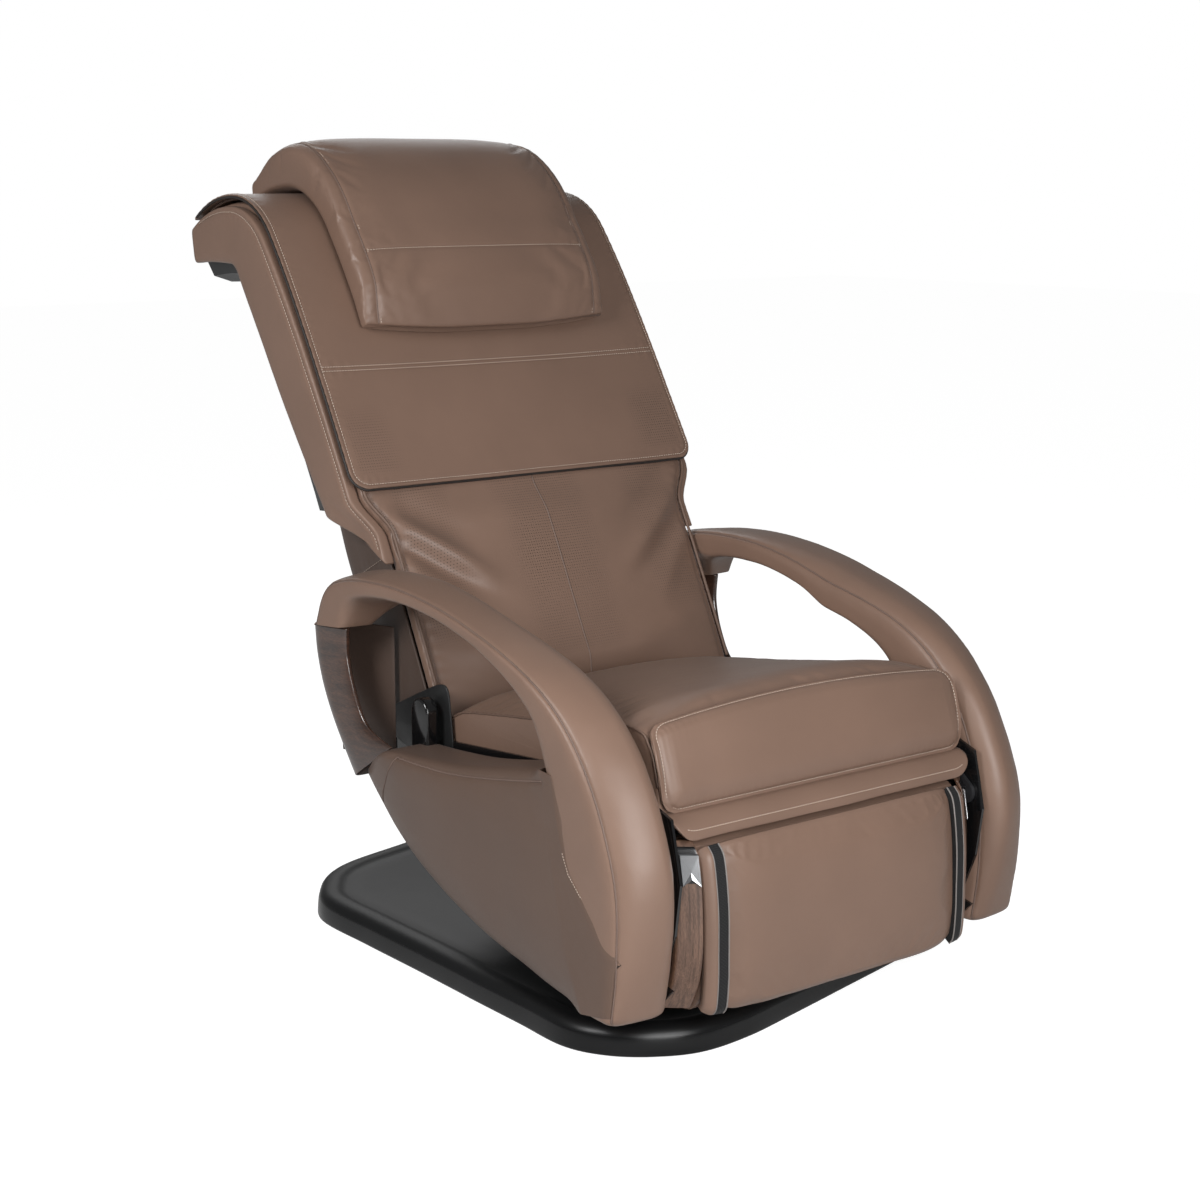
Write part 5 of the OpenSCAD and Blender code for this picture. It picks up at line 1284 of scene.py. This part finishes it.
for side_name, sx in (("left", 1), ("right", -1)):
    calf_band(f"calf_gusset_{side_name}", sx * 201.7, sx * 216.4, -1.6, -3.2, gusset, "rubber",
              0.4)
    calf_band(f"calf_band_{side_name}", sx * 216.8, sx * 229.5, -3.2, -12, hide, "leather", 2.4)
    for k, (x, h, r) in enumerate(((201.4, -1.3, 1.0), (216.6, -3.1, 0.75))):
        edge = calf_face(np.linspace(0.01, 0.99, 200), np.array([h]))[:, 0]
        cord = np.concatenate([np.full((200, 1), sx * x), edge], 1)
        finish(tube(f"calf_piping_{side_name}_{k}", cord, r, welt_pale), "ottoman", "leather")

# %% [markdown]
# ## Calf wells
# On the other face of the calf rest two half-round wells hold the legs. Each is
# lined with a padded hide in two cheeks, with a dark slot at the bottom where the
# air cushions sit. We lay a crowned pad along each cheek.

# %% Calf wells
WELL_X, WELL_R, WELL_PAD, WELL_MID = 107.0, 57.2, 8.6, 45.7
ca, cb = ring(90, 5)
Z = np.linspace(-1, 1, 60)[:, None]
shrink = np.sqrt(np.maximum(1 - abs(Z) ** 8, 0.05))
R = WELL_R - (cb[None] + 1) / 2 * WELL_PAD * shrink
A = np.radians(WELL_MID + (lerp(7.5, 84.0, (ca[None] + 1) / 2) - WELL_MID)
               * (0.96 + 0.04 * shrink))
# The cheeks use the dark inner leather, whose colour is partly painted shade.
for k, (sx, cheek) in enumerate(((1, 1), (1, -1), (-1, 1), (-1, -1))):
    well = np.stack([sx * WELL_X + cheek * R * np.sin(A), OC[0] + 56 - R * np.cos(A),
                     np.broadcast_to(OC[1] + 79 * Z, R.shape)], -1)
    finish(loft(f"calf_well_pad_{k}", well, hide_dark_shaded), "ottoman", "leather_dark",
           *(("calf_liners",) if k == 0 else ()), fill=0.7)
print("calf wells done")

# %% [markdown]
# ## Floor base
# The base is one moulded cover with a polished side and a satin top. Its outline is
# a curve through a few places, mirrored, and the cover is a stack of such outlines,
# each taken in by an inset and set at a height. A low ridge runs just inside the
# edge. The whole base stands turned by thirteen degrees under the seat.

# %% Floor base
base_half = np.array([[0, -1], [0.3, -1], [0.56, -0.995], [0.76, -0.955], [0.89, -0.86],
                      [0.975, -0.735], [1, -0.58], [0.942, -0.35], [0.867, -0.05], [0.79, 0.22],
                      [0.716, 0.49], [0.635, 0.76], [0.51, 0.89], [0.38, 0.965], [0.23, 0.997],
                      [0, 1]])
BASE_TURN = math.radians(13)
BASE_HALF_W, BASE_FRONT, BASE_REAR = 394.0, 399.0, 449.0


def base_outline(inset):
    """Outline taken in by an inset along its outward direction, and its mirror image."""
    p = curve(base_half, np.linspace(0, 1, 201))
    p = p * np.stack([np.full(201, BASE_HALF_W),
                      np.where(p[:, 1] < 0, BASE_FRONT, BASE_REAR)], 1)
    d = unit(np.gradient(p, axis=0))
    p = p - inset * np.stack([d[:, 1], -d[:, 0]], 1)
    p[[0, -1], 0] = 0
    return np.concatenate([p, (p[1:-1] * [-1, 1])[::-1]])


def base_circle(r):
    """The outline's directions at one distance from the axis."""
    p = base_outline(0)
    return p * (r / np.linalg.norm(p, axis=1, keepdims=True))


cover_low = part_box("swivel_column")[0][2] * 1000
stack = [(base_outline(i), z) for i, z in (
    (11, cover_low), (9, 2), (2, 2), (0.6, 2.6), (0, 5), (0.5, 14), (1.6, 25), (3.4, 30),
    (6.2, 34), (10, 36.8), (15, 39), (21, 40), (26, 40.1), (30, 39.5), (34, 38), (38, 36.4),
    (43, 35.4), (60, 35.2), (90, 36.6))]
stack += [(base_circle(r), z) for r, z in ((108, 39.4), (104, 40), (98, 39), (92, 36),
                                           (92, cover_low))]
base_grid = np.stack([np.concatenate([p, np.full((len(p), 1), z)], 1) for p, z in stack], 1)
base_cos, base_sin = math.cos(BASE_TURN), math.sin(BASE_TURN)
base_grid = base_grid @ np.array([[base_cos, base_sin, 0], [-base_sin, base_cos, 0], [0, 0, 1]])
base_finish = plain("base_finish", (0.005, 0.0052, 0.0056), 0.42, 0.0002, 900.0)
base_shader = next(n for n in base_finish.node_tree.nodes if n.type == "BSDF_PRINCIPLED")
place = node(base_finish, "TexCoord").outputs["Object"]
height = node(base_finish, "SeparateXYZ", {0: place}).outputs["Z"]
link(base_finish, node(base_finish, "MapRange", {
    "Value": height, "From Min": 0.026, "From Max": 0.036, "To Min": 0.24,
    "To Max": 0.46}).outputs[0], base_shader.inputs["Roughness"])
base_shader.inputs["Specular IOR Level"].default_value = 0.3
idx = np.arange(base_grid[..., 0].size).reshape(base_grid.shape[:2])
nxt = np.roll(idx, -1, 0)
base_faces = np.stack([idx, nxt, np.roll(nxt, -1, 1), np.roll(idx, -1, 1)], -1)
base_faces = base_faces.reshape(-1, 4).tolist()
base_points = base_grid.reshape(-1, 3)
if volume(base_points, base_faces) < 0:
    base_faces = [f[::-1] for f in base_faces]
finish(build("base_moulding", base_points, base_faces, base_finish), "base", "black_plastic",
       "base_cover")
print("base outline", base_grid.shape, "points")

# %% [markdown]
# ## Rear crescents
# The lacquered crescent behind each arm is a bent veneer shell, widest at the top
# and running out to a point below. It lies in the outer half of the arm's width. Two
# side-view curves give its edges, and a squarish ring between them its section.

# %% Rear crescents
trim_in = arm_at([[0.122, 0.8265], [0.12, 0.735], [0.142, 0.635], [0.182, 0.552],
                  [0.2615, 0.5135]])
trim_out = arm_at([[0, 0.8135], [0.004, 0.725], [0.022, 0.625], [0.06, 0.515],
                   [0.1195, 0.3815]])
tu = np.concatenate([[0, 0.004], np.linspace(0.01, 0.99, 90), [0.996, 1]])
ta, tb = ring(84, 3.4)
t_end = np.ones(len(tu))
t_end[[0, 1, -2, -1]] = [0.9, 0.97, 0.97, 0.9]
TA, TB = ta[None] * t_end[:, None], tb[None] * t_end[:, None]
THINNER = [12, -3]           # the inner edge stands back from the solid's by this much
back_share = (TB + 1) / 2
trim_yz = lerp(curve(trim_in, tu)[:, None] + THINNER, curve(trim_out, tu)[:, None],
               back_share[..., None])
trim_x = lerp(lerp(331.0, 300.0, back_share), lerp(345.0, 354.0, back_share)
              - 8 * tu[:, None], (TA + 1) / 2)
trim_grid = np.concatenate([trim_x[..., None], trim_yz], -1)
for side_name, turn in SIDES:
    finish(loft(f"rear_crescent_{side_name}", turn(trim_grid), walnut), "seat", "walnut",
           f"rear_trim_{side_name}")
print("rear crescent", trim_grid.shape)

# %% [markdown]
# ## Leather lining behind the crescents
# A thin padded panel runs slantwise from the arm's inner face to the crescent. It is
# a squarish ring drawn out into a plate, a little thicker in its middle.

# %% Leather lining
lu = np.linspace(-1, 1, 60)[:, None]
xa, xb = ring(60, 7)
way = (xa[None] + 1) / 2
lining = np.stack(np.broadcast_arrays(
    lerp(269.8, 303.0, way) + 1.6 * xb[None] * (1 - 0.9 * abs(lu) ** 8),
    lerp(152.0, 236.0, way) + 2.4 * xb[None],
    lerp(268.0, 456.0, (lu + 1) / 2)), -1)
# The lining uses the dark inner leather, whose colour is partly painted shade for the hollow behind
# the crescent.
for side_name, turn in SIDES:
    finish(loft(f"arm_lining_{side_name}", turn(lining), hide_dark_shaded), "seat", "leather_dark",
           f"rear_trim_{side_name}", fill=0.3)
print("lining", lining.shape)

# %% [markdown]
# ## Wooden strips of the calf rest
# Beside the calf pad stands a curved strip of satin wood on each side. Its front
# face is set back towards the outside. The latch that frees the calf rest sits in
# a black well in the strip, so a dark plate goes behind the chrome.

# %% Wooden strips
strip_line = np.array([[-446, 283], [-458, 268], [-464, 240], [-468, 190], [-468, 140],
                       [-460, 100], [-444, 68]], float)


def set_back(x):
    """How far the strip's face lies back at x: 22 mm across its 26.8 mm of width."""
    return 22 * (x - 231) / 26.8


def strip_face(x, u):
    """Front face of the strip: its side-view line, set back across its width."""
    p = curve(strip_line, u)
    return p[..., 0] + set_back(x), p[..., 1]


wu = np.concatenate([[0, 0.003], np.linspace(0.008, 0.992, 110), [0.997, 1]])
wa, wb = ring(60, 6)
w_end = np.ones(len(wu))
w_end[[0, 1, -2, -1]] = [0.8, 0.95, 0.95, 0.8]
WX = 244.4 + 13.2 * wa[None] * w_end[:, None]
WU = np.broadcast_to(wu[:, None], WX.shape)
wy, wz = strip_face(WX, WU)
strip_grid = np.stack([WX, wy + 4 - 4 * wb[None] * w_end[:, None]
                       - 0.8 * (wb[None] > 0) * (1 - wa[None] ** 2), wz], -1)
well_u = np.linspace(0.09, 0.36, 30)
va, vb = ring(40, 12)
VX = np.broadcast_to(243.4 + 9.8 * va[None], (30, 40))
vy, vz = strip_face(VX, np.broadcast_to(well_u[:, None], VX.shape))
well_grid = np.stack([VX, vy - 0.5 - 0.9 * vb[None], vz], -1)
for side_name, turn in SIDES:
    finish(loft(f"calf_strip_{side_name}", turn(strip_grid), strip_wood), "leg_rest", "walnut",
           f"leg_strip_{side_name}")
    finish(loft(f"latch_well_{side_name}", turn(well_grid), black_gloss), "leg_rest",
           "black_gloss")
print("wooden strip", strip_grid.shape)

# %% [markdown]
# ## Latches
# Each latch is a flat chrome key with a notch in its lower edge. Three outlines of it,
# stood off the strip's face, give it an eased front edge.

# %% Latches
LX0, LX1, LZ0, LZ1, NOTCH = 234.0, 252.6, 229.0, 269.0, 9.0
middle_x = (LX0 + LX1) / 2
face = np.array([[LX0, LZ1], [LX1, LZ1], [LX1, LZ0], [middle_x, LZ0 + NOTCH], [LX0, LZ0]])
centre = np.array([middle_x, (LZ0 + LZ1) / 2 + 3])
latch_rows = []
for proud, k in ((-1.5, 1.0), (4.7, 1.0), (5.5, 0.93)):
    p = centre + (face - centre) * k
    y = np.interp(p[:, 1], strip_line[::-1, 1], strip_line[::-1, 0]) + set_back(p[:, 0])
    latch_rows.append(np.stack([p[:, 0], y - proud, p[:, 1]], 1))
latch_grid = np.array(latch_rows)
for side_name, turn in SIDES:
    key = finish(loft(f"latch_key_{side_name}", turn(latch_grid), chrome), f"latch_{side_name}",
                 "chrome", f"latch_{side_name}")
    key.data.polygons.foreach_set("use_smooth", [False] * len(key.data.polygons))
print("latch", latch_grid.shape)

# %% [markdown]
# ## Handset
# The handset is a slim glossy bar with a half-round top. It stands in its pocket
# inside the right arm, with its keys towards the seat. Its outline is a rounded bar
# and its edges are eased by three thin steps.

# %% Handset
ha = np.linspace(0, np.pi, 40)
bar = np.concatenate([np.stack([49 + 20 * np.cos(ha), 356.5 + 20 * np.sin(ha)], 1),
                      [[29, 300], [29, 260], [29, 228], [32, 224.8], [49, 224.6], [66, 224.8],
                       [69, 228], [69, 260], [69, 300]]])
bar_middle = np.array([49.0, 300.0])
handset_rows = [np.concatenate([np.full((len(bar), 1), x),
                                bar_middle + (bar - bar_middle) * [1 - d / 20, 1 - d / 76]], 1)
                for x, d in ((-297.8, 3.4), (-297.2, 1.6), (-295.6, 0.4), (-293.5, 0),
                             (-282.5, 0), (-280.2, 0.4), (-278.8, 1.6), (-278.2, 3.4))]
finish(loft("handset_case", np.array(handset_rows), black_gloss), "handset", "black_gloss",
       "handset")

# %% [markdown]
# ## Handset bracket
# A thin black plate stands between the handset and the seat. It is a flat polygon
# with rounded corners, 2.5 mm thick.

# %% Handset bracket
corners = np.array([[209, 319], [22, 404], [6, 281], [128, 289]], float)
outline = np.concatenate([lerp(corners[k], corners[(k + 1) % 4],
                               np.linspace(0, 1, 20, endpoint=False)[:, None])
                          for k in range(4)])
for _ in range(12):
    outline = (np.roll(outline, 1, 0) + 2 * outline + np.roll(outline, -1, 0)) / 4
plate_middle = outline.mean(0)
plate = np.stack([
    np.concatenate([np.full((80, 1), x), plate_middle + (outline - plate_middle) * k], 1)
    for x, k in ((-266.0, 0.985), (-266.3, 1.0), (-268.2, 1.0), (-268.5, 0.985))])
finish(loft("handset_bracket", plate, black_plastic), "seat", "black_plastic")
print("bracket", plate.shape)

# %% [markdown]
# ## Floor and room
# The chair stands on a plain white floor in a white room. To the camera, and faintly
# to reflections, the floor adds a glow of its own to its grey diffuse surface, so it
# keeps the chair's shadow. The room is white where the camera sees it and gives only
# soft grey light to everything else. Both are a mix of two shaders that the kind of
# ray chooses between.

# %% Floor and room
FLOOR_HALF = 15.0
WHITE = (1.0, 1.0, 1.0, 1.0)
FLOOR_GLOW, FLOOR_GREY, REFLECTED_GLOW = 0.90, (0.5, 0.5, 0.5, 1.0), 0.3
ROOM_SEEN, ROOM_LIGHT = 1.0, 0.18


def by_ray(owner, factor, unseen, seen, output):
    """Shows one shader where the factor is 0 and the other where it is 1."""
    mix = node(owner, "MixShader", {0: factor, 1: unseen.outputs[0], 2: seen.outputs[0]})
    link(owner, mix.outputs[0], output.inputs[0])


floor_mesh = bpy.data.meshes.new("floor")
floor_mesh.from_pydata([(FLOOR_HALF * x, FLOOR_HALF * y, 0)
                        for x, y in ((-1, -1), (1, -1), (1, 1), (-1, 1))], [], [(0, 1, 2, 3)])
floor = bpy.data.objects.new("floor", floor_mesh)
bpy.context.collection.objects.link(floor)
paint = bpy.data.materials.new("floor_paint")
paint.use_nodes = True
paint.node_tree.nodes.clear()
rays = node(paint, "LightPath").outputs
glow = node(paint, "Emission", {"Color": WHITE, "Strength": FLOOR_GLOW})
matt = node(paint, "BsdfDiffuse", {"Color": FLOOR_GREY})
glowing = node(paint, "AddShader", {0: glow.outputs[0], 1: matt.outputs[0]})
faint = node(paint, "Math", {0: rays["Is Glossy Ray"], 1: REFLECTED_GLOW}, operation="MULTIPLY")
lit = node(paint, "Math", {0: rays["Is Camera Ray"], 1: faint.outputs[0]}, operation="MAXIMUM")
by_ray(paint, lit.outputs[0], matt, glowing, node(paint, "OutputMaterial"))
floor_mesh.materials.append(paint)

world = bpy.context.scene.world or bpy.data.worlds.new("room")
bpy.context.scene.world = world
world.use_nodes = True
world.node_tree.nodes.clear()
rays = node(world, "LightPath").outputs
white = node(world, "Background", {"Color": WHITE, "Strength": ROOM_SEEN})
soft = node(world, "Background", {"Color": WHITE, "Strength": ROOM_LIGHT})
lit = node(world, "Math", {0: rays["Is Camera Ray"], 1: rays["Is Transmission Ray"]},
           operation="MAXIMUM")
by_ray(world, lit.outputs[0], soft, white, node(world, "OutputWorld"))

# %% [markdown]
# ## Lamps
# Four soft square lamps light the leather: one in front, one above on the near side,
# a low one that fills the front, and a large weak one behind the chair.

# %% Lamps
def lamp(name, place, aim, size, power):
    """Square soft lamp at a place, turned to its aim."""
    data = bpy.data.lights.new(name, "AREA")
    data.shape = "SQUARE"
    data.size = size
    data.energy = power
    obj = bpy.data.objects.new(name, data)
    obj.location = place
    obj.visible_camera = False
    obj.rotation_euler = (Vector(aim) - Vector(place)).to_track_quat("-Z", "Y").to_euler()
    bpy.context.collection.objects.link(obj)
    return obj


lamp("front", (-0.55, -1.75, 0.95), (0, -0.2, 0.45), 1.0, 22)
lamp("left", (-2.3, -0.3, 1.7), (0, 0, 0.6), 0.9, 40)
lamp("low_front", (-1.1, -2.5, 0.7), (-0.2, -0.3, 0.35), 1.0, 14)
lamp("rear", (1.0, 2.4, 1.9), (0, 0, 0.5), 1.6, 14)

# %% [markdown]
# ## Camera
# The camera stands to the chair's right, looks down by a little under eleven degrees
# and has a long lens, so the chair's lines run nearly parallel.

# %% Camera
camera_data = bpy.data.cameras.new("camera")
camera_data.sensor_width = 36.0
camera_data.lens = 66.45
camera = bpy.data.objects.new("camera", camera_data)
camera.location = (-1.9166, -2.4001, 1.0759)
camera.rotation_euler = (math.radians(90 - 10.90), 0.0, math.radians(-38.28))
bpy.context.collection.objects.link(camera)
bpy.context.scene.camera = camera
bpy.context.scene.view_settings.view_transform = "Standard"
